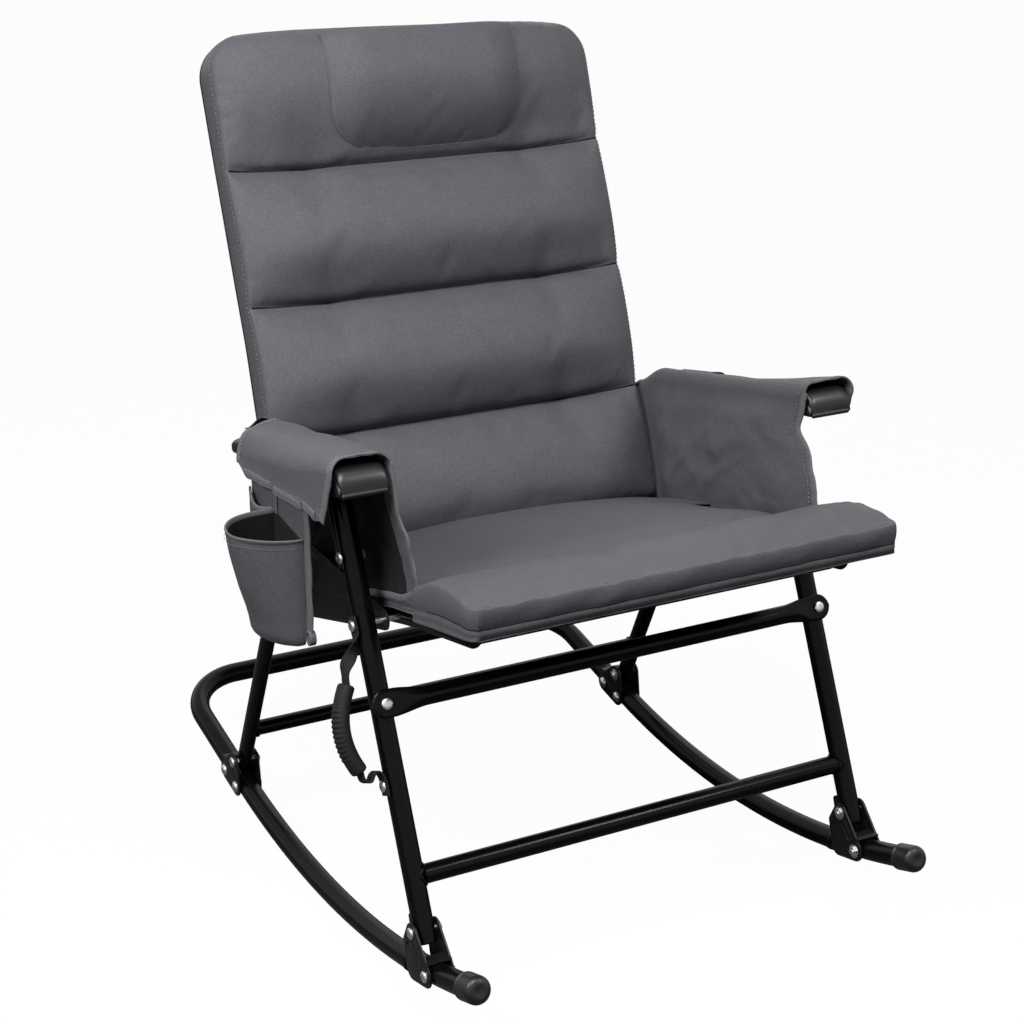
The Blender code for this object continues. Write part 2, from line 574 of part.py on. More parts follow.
def make_seat(paint):
    plate_outer = SEAT_PLATE_X + SHEET
    for side, sign in SIDES:
        x = sign * SEAT_RAIL_X
        path = []
        for y in (SEAT_RAIL_FRONT_Y, SEAT_PIVOT.y, SEAT_RAIL_REAR_Y):
            path.append(Vector((x, y, seat_rail_z(y))))
        rail = sweep(f"seat_rail_{side}", path, SEAT_RAIL_RADIUS, paint["tube"], "seat")
        drill(rail, Vector((x, SEAT_PIVOT.y, SEAT_PIVOT.z)), X_AXIS, 4.0 * SEAT_RAIL_RADIUS, "seat")
        low_rear = Vector((0.0, SEAT_RAIL_REAR_Y, SEAT_RAIL_REAR_Z))
        outline = rounded_hull((SEAT_PIVOT, REAR_PIN, CREASE, low_rear), (PLATE_ROUND,) * 4)
        side_plate = plate(f"seat_plate_{side}", outline, sign * SEAT_PLATE_X, sign * plate_outer,
                           paint["sheet"], "seat")
        for hole in (SEAT_PIVOT, REAR_PIN, CREASE):
            drill(side_plate, Vector((sign * plate_outer, hole.y, hole.z)), X_AXIS, 8.0 * SHEET, "seat")
        lug = Vector((sign * (SEAT_RAIL_X + SEAT_RAIL_RADIUS + GAP), SEAT_RAIL_REAR_Y - PLATE_ROUND,
                      seat_rail_z(SEAT_RAIL_REAR_Y - PLATE_ROUND)))
        length = SEAT_PLATE_X - GAP - (SEAT_RAIL_X + SEAT_RAIL_RADIUS)
        spacer = turned(f"seat_plate_{side}_spacer", lug, X_AXIS * sign,
                        ((0.0, HEAD_RADIUS), (length + 0.5 * SHEET, HEAD_RADIUS)), None, "seat")
        combine(side_plate, spacer, "UNION")
        bolt(f"seat_pivot_bolt_{side}", SEAT_PIVOT, sign, LEG_X + LEG_RADIUS + 2.0 * GAP + STRAP_THICKNESS,
             SEAT_RAIL_X - SEAT_RAIL_RADIUS - GAP, paint["zinc"], "seat")
        bolt(f"rear_link_bolt_{side}", REAR_PIN, sign, LEG_X + REAR_HALF_THICKNESS + GAP,
             SEAT_PLATE_X - GAP, paint["zinc"], "seat", nut=False)
    inside = SEAT_RAIL_X - SEAT_RAIL_RADIUS - GAP
    for name, y in (("seat_front_bar", SEAT_RAIL_FRONT_Y + SEAT_RAIL_RADIUS),
                    ("seat_rear_bar", SEAT_RAIL_REAR_Y - SEAT_RAIL_RADIUS)):
        path = [Vector((-inside, y, seat_rail_z(y))), Vector((inside, y, seat_rail_z(y)))]
        sweep(name, path, 0.9 * SEAT_RAIL_RADIUS, paint["tube"], "seat", sides=12)
    make_seat_pad(paint)


def smooth_step(low, high, value):
    share = min(max((value - low) / (high - low), 0.0), 1.0)
    return share * share * (3.0 - 2.0 * share)


def seat_half_width(y):
    narrow = smooth_step(SEAT_WING_END_Y - 0.015, SEAT_WING_END_Y + 0.015, y)
    width = SEAT_FRONT_HALF_WIDTH + (SEAT_HALF_WIDTH - SEAT_FRONT_HALF_WIDTH) * narrow
    across, along = SEAT_NOSE_CORNER
    nose = min((y - SEAT_FRONT_Y) / along, 1.0)
    return width - across * (1.0 - math.sqrt(max(1.0 - (1.0 - nose) ** 2, 0.0)))


def seat_pad_bottom(y):
    """Just above the rails, whose slope makes them a little taller than their diameter."""
    slope = math.atan2(SEAT_PIVOT.z - SEAT_RAIL_REAR_Z, SEAT_RAIL_REAR_Y - SEAT_PIVOT.y)
    return seat_rail_z(y) + SEAT_RAIL_RADIUS / math.cos(slope) + CURVED_GAP


def seat_pad_top(y, across):
    """across runs from -1 to 1 over the width."""
    along = (y - SEAT_FRONT_Y) / BOLSTER_DEPTH
    bolster = math.sin(math.pi * min(max(along, 0.0), 1.0)) ** 0.7 if 0.0 < along < 1.0 else 0.0
    dish = SEAT_DISH * (1.0 - across * across) * smooth_step(0.8, 1.8, along)
    tail = 0.45 * SEAT_PAD_THICKNESS * smooth_step(SEAT_BACK_Y - 0.11, SEAT_BACK_Y, y)
    front = SEAT_NOSE_DROP * (1.0 - smooth_step(0.0, 0.16, along))
    at_bolster, behind = SEAT_DRAWN_IN
    drawn = (at_bolster + (behind - at_bolster) * smooth_step(0.9, 1.3, along)) * abs(across) ** 12
    height = SEAT_PAD_THICKNESS + BOLSTER_RISE * bolster - dish - tail - front - drawn
    return seat_pad_bottom(y) + height


def make_seat_pad(paint):
    columns = 14
    stations = [SEAT_FRONT_Y + 0.001, SEAT_FRONT_Y + 0.006, SEAT_FRONT_Y + 0.014]
    steps = 20
    for step in range(steps + 1):
        stations.append(SEAT_FRONT_Y + 0.026 + (SEAT_BACK_Y - SEAT_FRONT_Y - 0.026) * step / steps)
    rings = []
    for y in stations:
        half = seat_half_width(y)
        ring = []
        for step in range(columns + 1):
            across = math.sin(0.5 * math.pi * (2.0 * step / columns - 1.0))
            ring.append(Vector((half * across, y, seat_pad_top(y, across))))
        for share in (0.985, 0.5, 0.0, -0.5, -0.985):
            ring.append(Vector((half * share, y, seat_pad_bottom(y))))
        rings.append(ring)
    loft("seat_pad", rings, paint["fabric"], "seat")


# Back

BACK_BASE = CREASE + 0.012 * UP_BACK + 0.004 * OUT_OF_BACK


def back_point(x, up, out):
    return Vector((x, 0.0, 0.0)) + BACK_BASE + up * UP_BACK + out * OUT_OF_BACK


def back_half_width(up):
    top = max(up - (BACK_HEIGHT - BACK_CORNER), 0.0) / BACK_CORNER
    return BACK_HALF_WIDTH - BACK_CORNER * (1.0 - math.sqrt(max(1.0 - top * top, 0.0)))


def back_front(up, across):
    """How far the pad's front stands out: crowned channels between pinched seams."""
    edges = (0.0, *BACK_SEAMS_UP, BACK_HEIGHT)
    channel = 0.0
    for low, high in zip(edges[:-1], edges[1:]):
        if low <= up <= high:
            reach = TOP_CHANNEL_SHARE if high == BACK_HEIGHT else 1.0
            channel = math.sin(math.pi * reach * (up - low) / (high - low)) ** 0.6
    near_seam = max(0.0, 1.0 - min(abs(up - seam) for seam in BACK_SEAMS_UP) / 0.030)
    tuft = max(0.0, 1.0 - abs(abs(across) - TUFT_SHARE) / 0.16) * near_seam
    middle = 1.0 - across ** 4
    foot = -0.016 * (1.0 - smooth_step(0.0, 0.075, up))
    top = max(up - (BACK_HEIGHT - TOP_EDGE_ROUND), 0.0) / TOP_EDGE_ROUND
    foot -= TOP_EDGE_ROUND * (1.0 - math.sqrt(1.0 - top * top))
    drawn = BACK_DRAWN_IN * abs(across) ** 14
    return (BACK_CROWN * channel * middle - BACK_SEAM_SAG * middle * (1.0 - channel)
            - TUFT_DEPTH * tuft - drawn + foot)


def back_columns():
    """Columns shared by the pad and the headrest, dense at the sides."""
    half = HEADREST_HALF_WIDTH / BACK_HALF_WIDTH
    inner = [half * (step / 5.0) for step in range(6)]
    outer = [0.60, 0.72, 0.84, 0.93, 0.98, 1.0]
    right = [-value for value in reversed(outer)] + [-value for value in reversed(inner[1:])]
    return right + inner + outer


def back_rows():
    rows = [0.0, 0.012]
    for low, high in zip((0.0, *BACK_SEAMS_UP), BACK_SEAMS_UP):
        rows += [low + (high - low) * share for share in (0.16, 0.36, 0.64, 0.84, 1.0)]
    top = [HEADREST_BOTTOM_UP + (BACK_HEIGHT - 0.012 - HEADREST_BOTTOM_UP) * step / 8 for step in range(9)]
    rows += top + [BACK_HEIGHT - 0.006, BACK_HEIGHT - 0.001]
    return sorted(set(rows))


def make_back_pad(paint):
    rings = []
    for up in back_rows():
        half = back_half_width(up)
        ring = [back_point(half * across, up, back_front(up, across)) for across in back_columns()]
        for share in (0.985, 0.5, 0.0, -0.5, -0.985):
            ring.append(back_point(half * share, up, -BACK_EDGE_THICKNESS))
        rings.append(ring)
    loft("back_pad", rings, paint["fabric"], "back")


def make_headrest(paint):
    """A sewn pad over the top channel, on the same rows and columns as the pad behind it."""
    rows = [up for up in back_rows() if HEADREST_BOTTOM_UP - 0.001 <= up <= BACK_HEIGHT - 0.010]
    reach = HEADREST_HALF_WIDTH / BACK_HALF_WIDTH + 1e-6
    columns = [value for value in back_columns() if abs(value) <= reach]
    span = rows[-1] - rows[0]
    rings = []
    for up in rows:
        rise = (up - rows[0]) / span
        corner = max(1.0 - (up - rows[0]) / HEADREST_CORNER, 0.0)
        narrow = 1.0 - 0.32 * (1.0 - math.sqrt(max(1.0 - corner * corner, 0.0)))
        swell = HEADREST_THICKNESS * (0.18 + 0.82 * math.sin(math.pi * min(0.08 + 0.80 * rise, 1.0)))
        front = []
        behind = []
        for value in columns:
            across = value * narrow
            share = min(abs(value) * BACK_HALF_WIDTH / HEADREST_HALF_WIDTH, 1.0)
            x = back_half_width(min(up, BACK_HEIGHT - BACK_CORNER)) * across
            seat_out = back_front(up, across) + LOOSE_GAP * 0.5
            front.append(back_point(x, up, seat_out + 0.002 + swell * (1.0 - share ** 4)))
            behind.append(back_point(x, up, seat_out))
        rings.append(front + behind[::-1])
    loft("headrest", rings, paint["fabric"], "back")


def make_back(paint):
    tube_out = -(BACK_EDGE_THICKNESS + BACK_TUBE_RADIUS + GAP)
    top = BACK_HEIGHT - BACK_TUBE_TOP_DROP
    for side, sign in SIDES:
        x = sign * BACK_TUBE_X
        sweep(f"back_tube_{side}", [back_point(x, -0.005, tube_out), back_point(x, top, tube_out)],
              BACK_TUBE_RADIUS, paint["tube"], "back")
        make_back_plate(side, sign, tube_out, paint)
    inside = BACK_TUBE_X - BACK_TUBE_RADIUS - GAP
    bar_up = top - 1.2 * BACK_TUBE_RADIUS
    sweep("back_top_bar", [back_point(-inside, bar_up, tube_out), back_point(inside, bar_up, tube_out)],
          BACK_TUBE_RADIUS, paint["tube"], "back")
    make_back_pad(paint)
    make_headrest(paint)


def make_back_plate(side, sign, tube_out, paint):
    """Side plate with a stud for the seat hinge and one for the armrest's rear end."""
    behind = [back_point(0.0, up, tube_out) for up in (0.02, (ARM_REAR_PIN - CREASE).length)]
    outline = rounded_hull((CREASE, ARM_REAR_PIN, *behind), (0.8 * PLATE_ROUND,) * 4)
    outline = [Vector((0.0, point.y, point.z)) for point in outline]
    inner = sign * BACK_PLATE_X
    side_plate = plate(f"back_plate_{side}", outline, inner, inner + sign * SHEET, paint["sheet"], "back")
    studs = ((CREASE, SEAT_PLATE_X + SHEET + 0.004),
             (ARM_REAR_PIN, ARM_X - ARM_HALF_WIDTH + ARM_WALL + 0.004))
    for place, reach in studs:
        base = Vector((inner + sign * 0.5 * SHEET, place.y, place.z))
        length = reach - BACK_PLATE_X - 0.5 * SHEET
        stud = turned(f"back_plate_{side}_stud", base, X_AXIS * sign,
                      ((0.0, SHANK_RADIUS), (length, SHANK_RADIUS)), None, "back")
        combine(side_plate, stud, "UNION")
    for place in behind:
        base = Vector((inner + sign * 0.5 * SHEET, place.y, place.z))
        length = BACK_PLATE_X + 0.5 * SHEET - (BACK_TUBE_X + BACK_TUBE_RADIUS + GAP)
        boss = turned(f"back_plate_{side}_boss", base, X_AXIS * -sign,
                      ((0.0, 0.8 * HEAD_RADIUS), (length, 0.8 * HEAD_RADIUS)), None, "back")
        combine(side_plate, boss, "UNION")


# Armrests

def arm_point(x, along, above):
    return Vector((x, 0.0, 0.0)) + ARM_PIVOT + along * ALONG_ARM + above * ABOVE_ARM


def channel_outline(inner, outer, roof, inner_hem, outer_hem, wall, bend):
    """A channel open below, as (x, height) pairs: over the outside, then back under the roof."""
    knee = bend * (1.0 - math.sqrt(0.5))
    thin = (bend - wall) * (1.0 - math.sqrt(0.5)) + wall
    outside = [(inner, inner_hem), (inner, roof - bend), (inner + knee, roof - knee),
               (inner + bend, roof), (outer - bend, roof), (outer - knee, roof - knee),
               (outer, roof - bend), (outer, outer_hem)]
    inside = [(outer - wall, outer_hem), (outer - wall, roof - bend), (outer - thin, roof - thin),
              (outer - bend, roof - wall), (inner + bend, roof - wall), (inner + thin, roof - thin),
              (inner + wall, roof - bend), (inner + wall, inner_hem)]
    return outside + inside


def make_armrests(paint):
    inner = ARM_X - ARM_HALF_WIDTH
    outer = ARM_X + ARM_HALF_WIDTH
    for side, sign in SIDES:
        make_armrest(side, sign, inner, outer, paint)
        make_arm_cover(side, sign, inner, outer, paint)
        spacer_end = outer - ARM_WALL - GAP
        bolt(f"arm_pivot_bolt_{side}", ARM_PIVOT, sign, spacer_end - HEAD_HEIGHT - GAP,
             LEG_X - LEG_RADIUS + GAP, paint["zinc"], "armrests", nut=False)
        make_side_panel(side, sign, inner, paint)
    make_pockets(outer, paint)


def make_armrest(side, sign, inner, outer, paint):
    rings = []
    for along, sink, rise in ((-ARM_FRONT, ARM_NOSE, 0.0), (-ARM_FRONT + 0.4 * ARM_NOSE, 0.3 * ARM_NOSE, 0.0),
                              (-ARM_FRONT + ARM_NOSE, 0.0, 0.0), (ARM_REAR - 2.0 * ARM_NOSE, 0.0, 0.0),
                              (ARM_REAR - 0.5 * ARM_NOSE, 0.1 * ARM_NOSE, 0.5 * ARM_TAIL_RISE),
                              (ARM_REAR, 0.5 * ARM_NOSE, ARM_TAIL_RISE)):
        low = ARM_BOTTOM + rise
        outline = channel_outline(inner, outer, ARM_TOP - sink, low, low, ARM_WALL, ARM_BEND)
        rings.append([arm_point(sign * x, along, above) for x, above in outline])
    armrest = loft(f"armrest_{side}", rings, paint["plastic"], "armrests")
    pin = Vector((sign * (inner + 0.5 * ARM_WALL), ARM_REAR_PIN.y, ARM_REAR_PIN.z))
    root = arm_point(0.0, ARM_REAR - 2.0 * ARM_NOSE, 0.0)
    outline = rounded_hull((root, ARM_REAR_PIN), (0.9 * ARM_LUG_ROUND, ARM_LUG_ROUND))
    lug = plate(f"armrest_{side}_lug", outline, sign * (inner + 0.15 * ARM_WALL),
                sign * (inner + 0.85 * ARM_WALL), None, "armrests")
    combine(armrest, lug, "UNION")
    drill(armrest, pin, X_AXIS, 4.0 * ARM_WALL, "armrests")


def outer_hem(along):
    """The cover's outer hem stays level while the armrest slopes down to the rear."""
    front, rear = COVER_HEM_OUTER
    return front + (rear - front) * (along + COVER_FRONT) / (COVER_FRONT + COVER_REAR)


def make_arm_cover(side, sign, inner, outer, paint):
    slack = GAP
    rings = []
    steps = 8
    for step in range(steps + 1):
        along = -COVER_FRONT + (COVER_FRONT + COVER_REAR) * step / steps
        outline = channel_outline(inner - slack - COVER_THICKNESS, outer + slack + COVER_THICKNESS,
                                  ARM_TOP + slack + COVER_THICKNESS, COVER_HEM_INNER, outer_hem(along),
                                  COVER_THICKNESS, ARM_BEND + slack + COVER_THICKNESS)
        rings.append([arm_point(sign * x, along, above) for x, above in outline])
    loft(f"arm_cover_{side}", rings, paint["fabric"], "armrests")


def make_side_panel(side, sign, inner, paint):
    """Cloth that hangs from the arm cover's inner hem to the seat, with soft upright folds."""
    columns = 14
    top_x = inner - GAP - COVER_THICKNESS - 0.5 * CLOTH - GAP
    outer_face = []
    for column in range(columns + 1):
        share = column / columns
        top_y, low_y = (front + (PANEL_REAR_Y - front) * share for front in PANEL_FRONT_Y)
        hem = arm_point(0.0, (top_y - ARM_PIVOT.y) / math.cos(ARM_SLOPE), COVER_HEM_INNER).z + 0.010
        pad_y = min(low_y, SEAT_BACK_Y)
        across = min(PANEL_BOTTOM_X / seat_half_width(pad_y), 1.0)
        bottom = seat_pad_top(pad_y, across) + LOOSE_GAP
        strip = []
        for row in range(6):
            drop = row / 5.0
            fold = PANEL_FOLD * math.sin(5.0 * math.pi * share) * math.sin(math.pi * drop)
            x = top_x + (PANEL_BOTTOM_X - top_x) * smooth_step(0.1, 1.0, drop) - abs(fold)
            strip.append(Vector((sign * x, top_y + (low_y - top_y) * drop, hem + (bottom - hem) * drop)))
        outer_face.append(strip)
    rings = []
    for strip in outer_face:
        thick = Vector((-sign * 0.5 * CLOTH, 0.0, 0.0))
        rings.append([point - thick for point in strip] + [point + thick for point in reversed(strip)])
    loft(f"side_panel_{side}", rings, paint["fabric"], "armrests")


def hem_height(y):
    along = (y - ARM_PIVOT.y) / math.cos(ARM_SLOPE)
    return arm_point(0.0, along, outer_hem(along)).z


def make_pockets(outer, paint):
    """The pocket panel hangs from the right cover's outer hem and carries an open cup pocket."""
    panel_x = outer + GAP
    rings = []
    steps = 6
    for step in range(steps + 1):
        y = POCKET_FRONT_Y + (POCKET_REAR_Y - POCKET_FRONT_Y) * step / steps
        top = hem_height(y) - CURVED_GAP
        ring = []
        for x, z in ((panel_x, top), (panel_x, POCKET_BOTTOM_Z), (panel_x + CLOTH, POCKET_BOTTOM_Z),
                     (panel_x + CLOTH, top)):
            ring.append(Vector((-x, y, z)))
        rings.append(ring)
    loft("pocket_panel", rings, paint["fabric"], "armrests")
    wall_x = panel_x + CLOTH + GAP
    rings = []
    for rise, shrink, inset in ((0.0, 0.80, 0.0), (0.25, 0.92, 0.0), (1.0, 1.0, 0.0), (1.0, 1.0, CUP_WALL),
                                (0.25, 0.92, CUP_WALL), (CUP_WALL / CUP_HEIGHT, 0.80, CUP_WALL)):
        rings.append(cup_ring(wall_x, POCKET_BOTTOM_Z + rise * CUP_HEIGHT, shrink, inset))
    loft("cup_pocket", rings, paint["fabric"], "armrests")


def cup_ring(wall_x, z, shrink, inset):
    """A D-shaped outline: flat against the panel and bulging outwards."""
    middle = 0.5 * (CUP_FRONT_Y + CUP_REAR_Y)
    half = 0.5 * (CUP_REAR_Y - CUP_FRONT_Y) * shrink - inset
    bulge = CUP_BULGE * shrink - 2.0 * inset
    ring = []
    steps = 14
    for step in range(steps + 1):
        angle = math.pi * step / steps
        y = middle + half * math.cos(angle)
        ring.append(Vector((-(wall_x + inset + bulge * math.sin(angle) ** 0.8), y, z)))
    return ring


# Carry handle

def handle_point(up, out, across=0.0):
    return leg_point(-(LEG_X + LEG_RADIUS + GAP + out), up, across)


def strap_ribbon(name, path, hole, paint):
    """Flat webbing along (up, out) points, wide across the leg."""
    rings = []
    for index, (up, out) in enumerate(path):
        before = path[max(index - 1, 0)]
        after = path[min(index + 1, len(path) - 1)]
        along = Vector((after[0] - before[0], after[1] - before[1])).normalized()
        ring = []
        for across, lift in ((-1, 0), (1, 0), (1, 1), (-1, 1)):
            shift = lift * STRAP_THICKNESS
            ring.append(handle_point(up - along.y * shift, out + along.x * shift,
                                     across * STRAP_HALF_WIDTH))
        rings.append(ring)
    strap = loft(name, rings, paint["webbing"], "front_legs", smooth=False)
    drill(strap, handle_point(hole, 0.0), X_AXIS, 4.0 * STRAP_THICKNESS, "front_legs")


def grip_point(share):
    """Centre line of the grip from its low end to its high end: an arc that stands off the leg."""
    bow = 4.0 * share * (1.0 - share)
    out = GRIP_LOW_OUT + (GRIP_HIGH_OUT - GRIP_LOW_OUT) * share + GRIP_BOW * bow
    return GRIP_LOW_UP + GRIP_LENGTH * share, out


def make_handle(paint):
    make_grip(paint)
    flat = 1.4 * HEAD_RADIUS
    low_up, low_out = grip_point(0.0)
    high_up, high_out = grip_point(1.0)
    top = [(SEAT_PIVOT_UP + flat, 0.0), (SEAT_PIVOT_UP, 0.0), (SEAT_PIVOT_UP - flat, 0.0),
           (SEAT_PIVOT_UP - 2.0 * flat, 0.25 * high_out), (high_up + flat, 0.85 * high_out),
           (high_up + CURVED_GAP, high_out)]
    bottom = [(STRAP_LOW_UP - flat, 0.0), (STRAP_LOW_UP, 0.0), (STRAP_LOW_UP + flat, 0.0),
              (low_up - flat, 0.75 * low_out), (low_up - CURVED_GAP, low_out)]
    strap_ribbon("handle_strap_upper", top[::-1], SEAT_PIVOT_UP, paint)
    strap_ribbon("handle_strap_lower", bottom, STRAP_LOW_UP, paint)
    head_x = LEG_X + LEG_RADIUS + 2.0 * GAP + STRAP_THICKNESS
    bolt("handle_lower_bolt", leg_point(0.0, STRAP_LOW_UP), -1, head_x, LEG_X + LEG_RADIUS + GAP,
         paint["zinc"], "front_legs", nut=False)


def make_grip(paint):
    rings = []
    steps = 18
    for step in range(steps + 1):
        rib = 1.0 - GRIP_RIB * (step % 2 if 2 < step < steps - 2 else 0)
        up, out = grip_point(step / steps)
        centre = handle_point(up, out + 0.5 * STRAP_THICKNESS)
        rings.append(circle(centre, BEHIND_LEG, X_AXIS, GRIP_HALF_WIDTH * rib, GRIP_HALF_DEPTH * rib,
                            sides=12))
    loft("handle_grip", rings, paint["rubber"], "front_legs")


def settle_on_origin():
    """Move the chair so that the bottom centre of its bounding box is the world origin."""
    bpy.context.view_layer.update()
    graph = bpy.context.evaluated_depsgraph_get()
    corners = []
    for piece in bpy.context.scene.objects:
        if piece.type == "MESH" and not piece.hide_render:
            shape = piece.evaluated_get(graph)
            corners += [shape.matrix_world @ vertex.co for vertex in shape.data.vertices]
    low = Vector([min(corner[axis] for corner in corners) for axis in range(3)])
    high = Vector([max(corner[axis] for corner in corners) for axis in range(3)])
    shift = Vector((-0.5 * (low.x + high.x), -0.5 * (low.y + high.y), -low.z))
    for piece in bpy.context.scene.objects:
        piece.location += shift
    bpy.context.view_layer.update()
    return shift


def main():
    clear_scene()
    paint = make_materials()
    make_rocker(paint)
    make_front_legs(paint)
    make_rear_legs(paint)
    make_seat(paint)
    make_back(paint)
    make_armrests(paint)
    make_handle(paint)
    return settle_on_origin()


SHIFT = main()
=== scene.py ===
"""Looks of the folding rocking camping chair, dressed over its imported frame.

Pieces are modelled in the layout of the part's source, in metres from the front end of the rails and the
floor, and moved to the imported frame's place when they are kept.
"""

import json
import math

import bmesh
import bpy
from mathutils import Matrix, Vector, noise


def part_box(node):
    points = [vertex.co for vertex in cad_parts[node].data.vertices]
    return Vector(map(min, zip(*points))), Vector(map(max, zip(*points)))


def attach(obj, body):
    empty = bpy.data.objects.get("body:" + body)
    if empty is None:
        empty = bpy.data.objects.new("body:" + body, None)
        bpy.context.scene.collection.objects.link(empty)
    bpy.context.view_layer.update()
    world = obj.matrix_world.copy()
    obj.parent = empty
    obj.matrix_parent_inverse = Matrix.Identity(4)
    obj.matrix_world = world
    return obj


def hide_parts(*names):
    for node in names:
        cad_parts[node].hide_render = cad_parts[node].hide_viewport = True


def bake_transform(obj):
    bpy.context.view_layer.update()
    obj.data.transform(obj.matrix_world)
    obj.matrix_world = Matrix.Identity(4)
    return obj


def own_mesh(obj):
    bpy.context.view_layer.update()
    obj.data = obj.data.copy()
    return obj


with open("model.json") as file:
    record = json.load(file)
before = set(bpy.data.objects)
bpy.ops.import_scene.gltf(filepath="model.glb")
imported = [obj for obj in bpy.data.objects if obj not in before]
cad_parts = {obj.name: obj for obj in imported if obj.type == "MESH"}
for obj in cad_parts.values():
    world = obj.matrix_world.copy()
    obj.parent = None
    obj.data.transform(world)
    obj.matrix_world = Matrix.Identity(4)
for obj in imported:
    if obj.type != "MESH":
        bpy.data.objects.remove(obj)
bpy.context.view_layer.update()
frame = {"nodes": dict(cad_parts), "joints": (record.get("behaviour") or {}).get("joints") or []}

SIDES = (("right", -1), ("left", 1))
GAP = 0.0003
LOOSE_GAP = 0.0015
CURVED_GAP = 0.0008
SHEET = 0.0025

# Widths, from the back pad outwards.
BACK_HALF_WIDTH = 0.2665
BACK_PLATE_X = BACK_HALF_WIDTH + 0.0020
SEAT_PLATE_X = BACK_PLATE_X + SHEET + 0.0035
LEG_RADIUS = 0.0125
LEG_X = SEAT_PLATE_X + SHEET + 0.0105 + LEG_RADIUS
ARM_X = LEG_X + 0.014
SEAT_HALF_WIDTH = BACK_HALF_WIDTH - 0.0025
SEAT_FRONT_HALF_WIDTH = SEAT_HALF_WIDTH + 0.0155
SEAT_RAIL_X = SEAT_PLATE_X - 0.0285
BACK_TUBE_X = BACK_HALF_WIDTH - 0.0385

# Rocker.
RAIL_RADIUS = 0.0135
RAIL_ARC_RADIUS = 1.170
RAIL_LOW_Y = 0.413
RAIL_FRONT_Y = 0.034
RAIL_JOINT_Y = 0.690
HOOP_REAR_Y = 0.902
HOOP_CORNER_RADIUS = 0.080
CAP_RADIUS = 0.0165
CAP_LENGTH = 0.034
CAP_ROUND = 0.009
COLLAR_Y = (0.158, 0.1592, 0.166, 0.1672)
EAR_OUTER = RAIL_RADIUS + GAP + SHEET
FRONT_RAIL_BOLT_Y = 0.103
REAR_RAIL_BOLT_Y = (0.668, 0.706)
SHANK_RADIUS = 0.0035
HEAD_RADIUS = 0.0070
HEAD_HEIGHT = 0.0035

# Legs.
FRONT_PIVOT = Vector((0.0, 0.136, 0.0935))
FRONT_LEAN = math.radians(23.3)
LEG_FOOT = 0.015
LOWER_BAR_UP = 0.061
STRAP_LOW_UP = 0.168
UPPER_BAR_UP = 0.259
SEAT_PIVOT_UP = 0.352
ARM_PIVOT_UP = 0.520
LEG_TOP_UP = 0.534
LEG_SCREW_UP = 0.430
STAY_LOW_UP = 0.418
STAY_LENGTH = 0.094
CROSSBAR_RADIUS = 0.0115
TONGUE_HALF_HEIGHT = 0.0165
TONGUE_THICKNESS = 0.006
REAR_PIVOT = Vector((0.0, 0.673, 0.0755))
REAR_LEAN = math.radians(-25.6)
REAR_HALF_WIDTH = 0.0130
REAR_HALF_THICKNESS = 0.0085
REAR_FOOT = 0.012
REAR_BAR_UP = 0.062
REAR_TOP_UP = 0.409
REAR_BAR_RADIUS = 0.010

# Seat and back.
SEAT_RAIL_RADIUS = 0.0110
SEAT_RAIL_FRONT_Y = 0.112
SEAT_RAIL_FRONT_Z = 0.4470
SEAT_RAIL_REAR_Y = 0.545
SEAT_RAIL_REAR_Z = 0.3420
SEAT_FRONT_Y = 0.050
SEAT_BACK_Y = 0.522
SEAT_WING_END_Y = 0.205
SEAT_PAD_THICKNESS = 0.034
BOLSTER_RISE = 0.020
BOLSTER_DEPTH = 0.160
SEAT_SWELL = 0.024
SEAT_CREASE_Y = 0.216
SEAT_CREASE_DEPTH = 0.0090
SEAT_NOSE_CORNER = (0.012, 0.018)
SEAT_DRAWN_IN = (0.001, 0.015)
BACK_LEAN = math.radians(20.0)
BACK_HEIGHT = 0.662
BACK_EDGE_THICKNESS = 0.046
BACK_SEAMS_UP = (0.156, 0.324, 0.497)
BACK_CROWN = 0.022
BACK_SEAM_SAG = 0.010
BACK_DRAWN_IN = 0.004
BACK_SWELL = 0.013
BACK_ASIDE = 0.003
BACK_TOP_SKEW = 0.0045
BACK_FOOT_ROUND = 0.012
TOP_CHANNEL_SHARE = 0.62
CHANNEL_PEAK = 0.38
TOP_EDGE_ROUND = 0.014
TUFT_SHARE = 0.58
GROOVE_DEPTH = 0.0070
TUFT_DEPTH = 0.0065
VALLEY_DEPTH = 0.0032
BACK_CORNER = 0.050
BACK_TUBE_RADIUS = 0.0110
BACK_TUBE_TOP_DROP = 0.052
HEADREST_HALF_WIDTH = 0.138
HEADREST_BOTTOM_UP = 0.512
HEADREST_THICKNESS = 0.021
HEADREST_CORNER = 0.055
HEADREST_ASIDE = 0.014

# Armrests, cloth and handle.
ARM_SLOPE = math.radians(10.0)
ARM_HALF_WIDTH = 0.0305
ARM_TOP = 0.030
ARM_BEND = 0.010
ARM_BOTTOM = -0.010
ARM_NOSE_BOTTOM = -0.004
COVER_LIFT = GAP + 0.003
COVER_FRONT = 0.105
COVER_REAR = 0.187
COVER_CORNER = 0.011
COVER_HEM_OUTER = ((-0.105, -0.034), (-0.066, -0.033), (-0.020, -0.0200), (0.060, -0.0110), (0.145, -0.0020),
                   (0.187, 0.020))
COVER_HEM_SHORT = -0.008
COVER_SLANT = 0.030
COVER_HEM_INNER = 0.004
ROOF_TILT = {-1: (0.0005, 0.0042), 1: (-0.0085, 0.0070)}
ROOF_DOME = {-1: 0.0135, 1: 0.0035}
PANEL_FRONT_Y = 0.2385
PANEL_LOW_Y = {-1: 0.208, 1: 0.190}
PANEL_NOTCH = {-1: 0.006, 1: 0.022}
PANEL_REAR_Y = (0.626, 0.566)
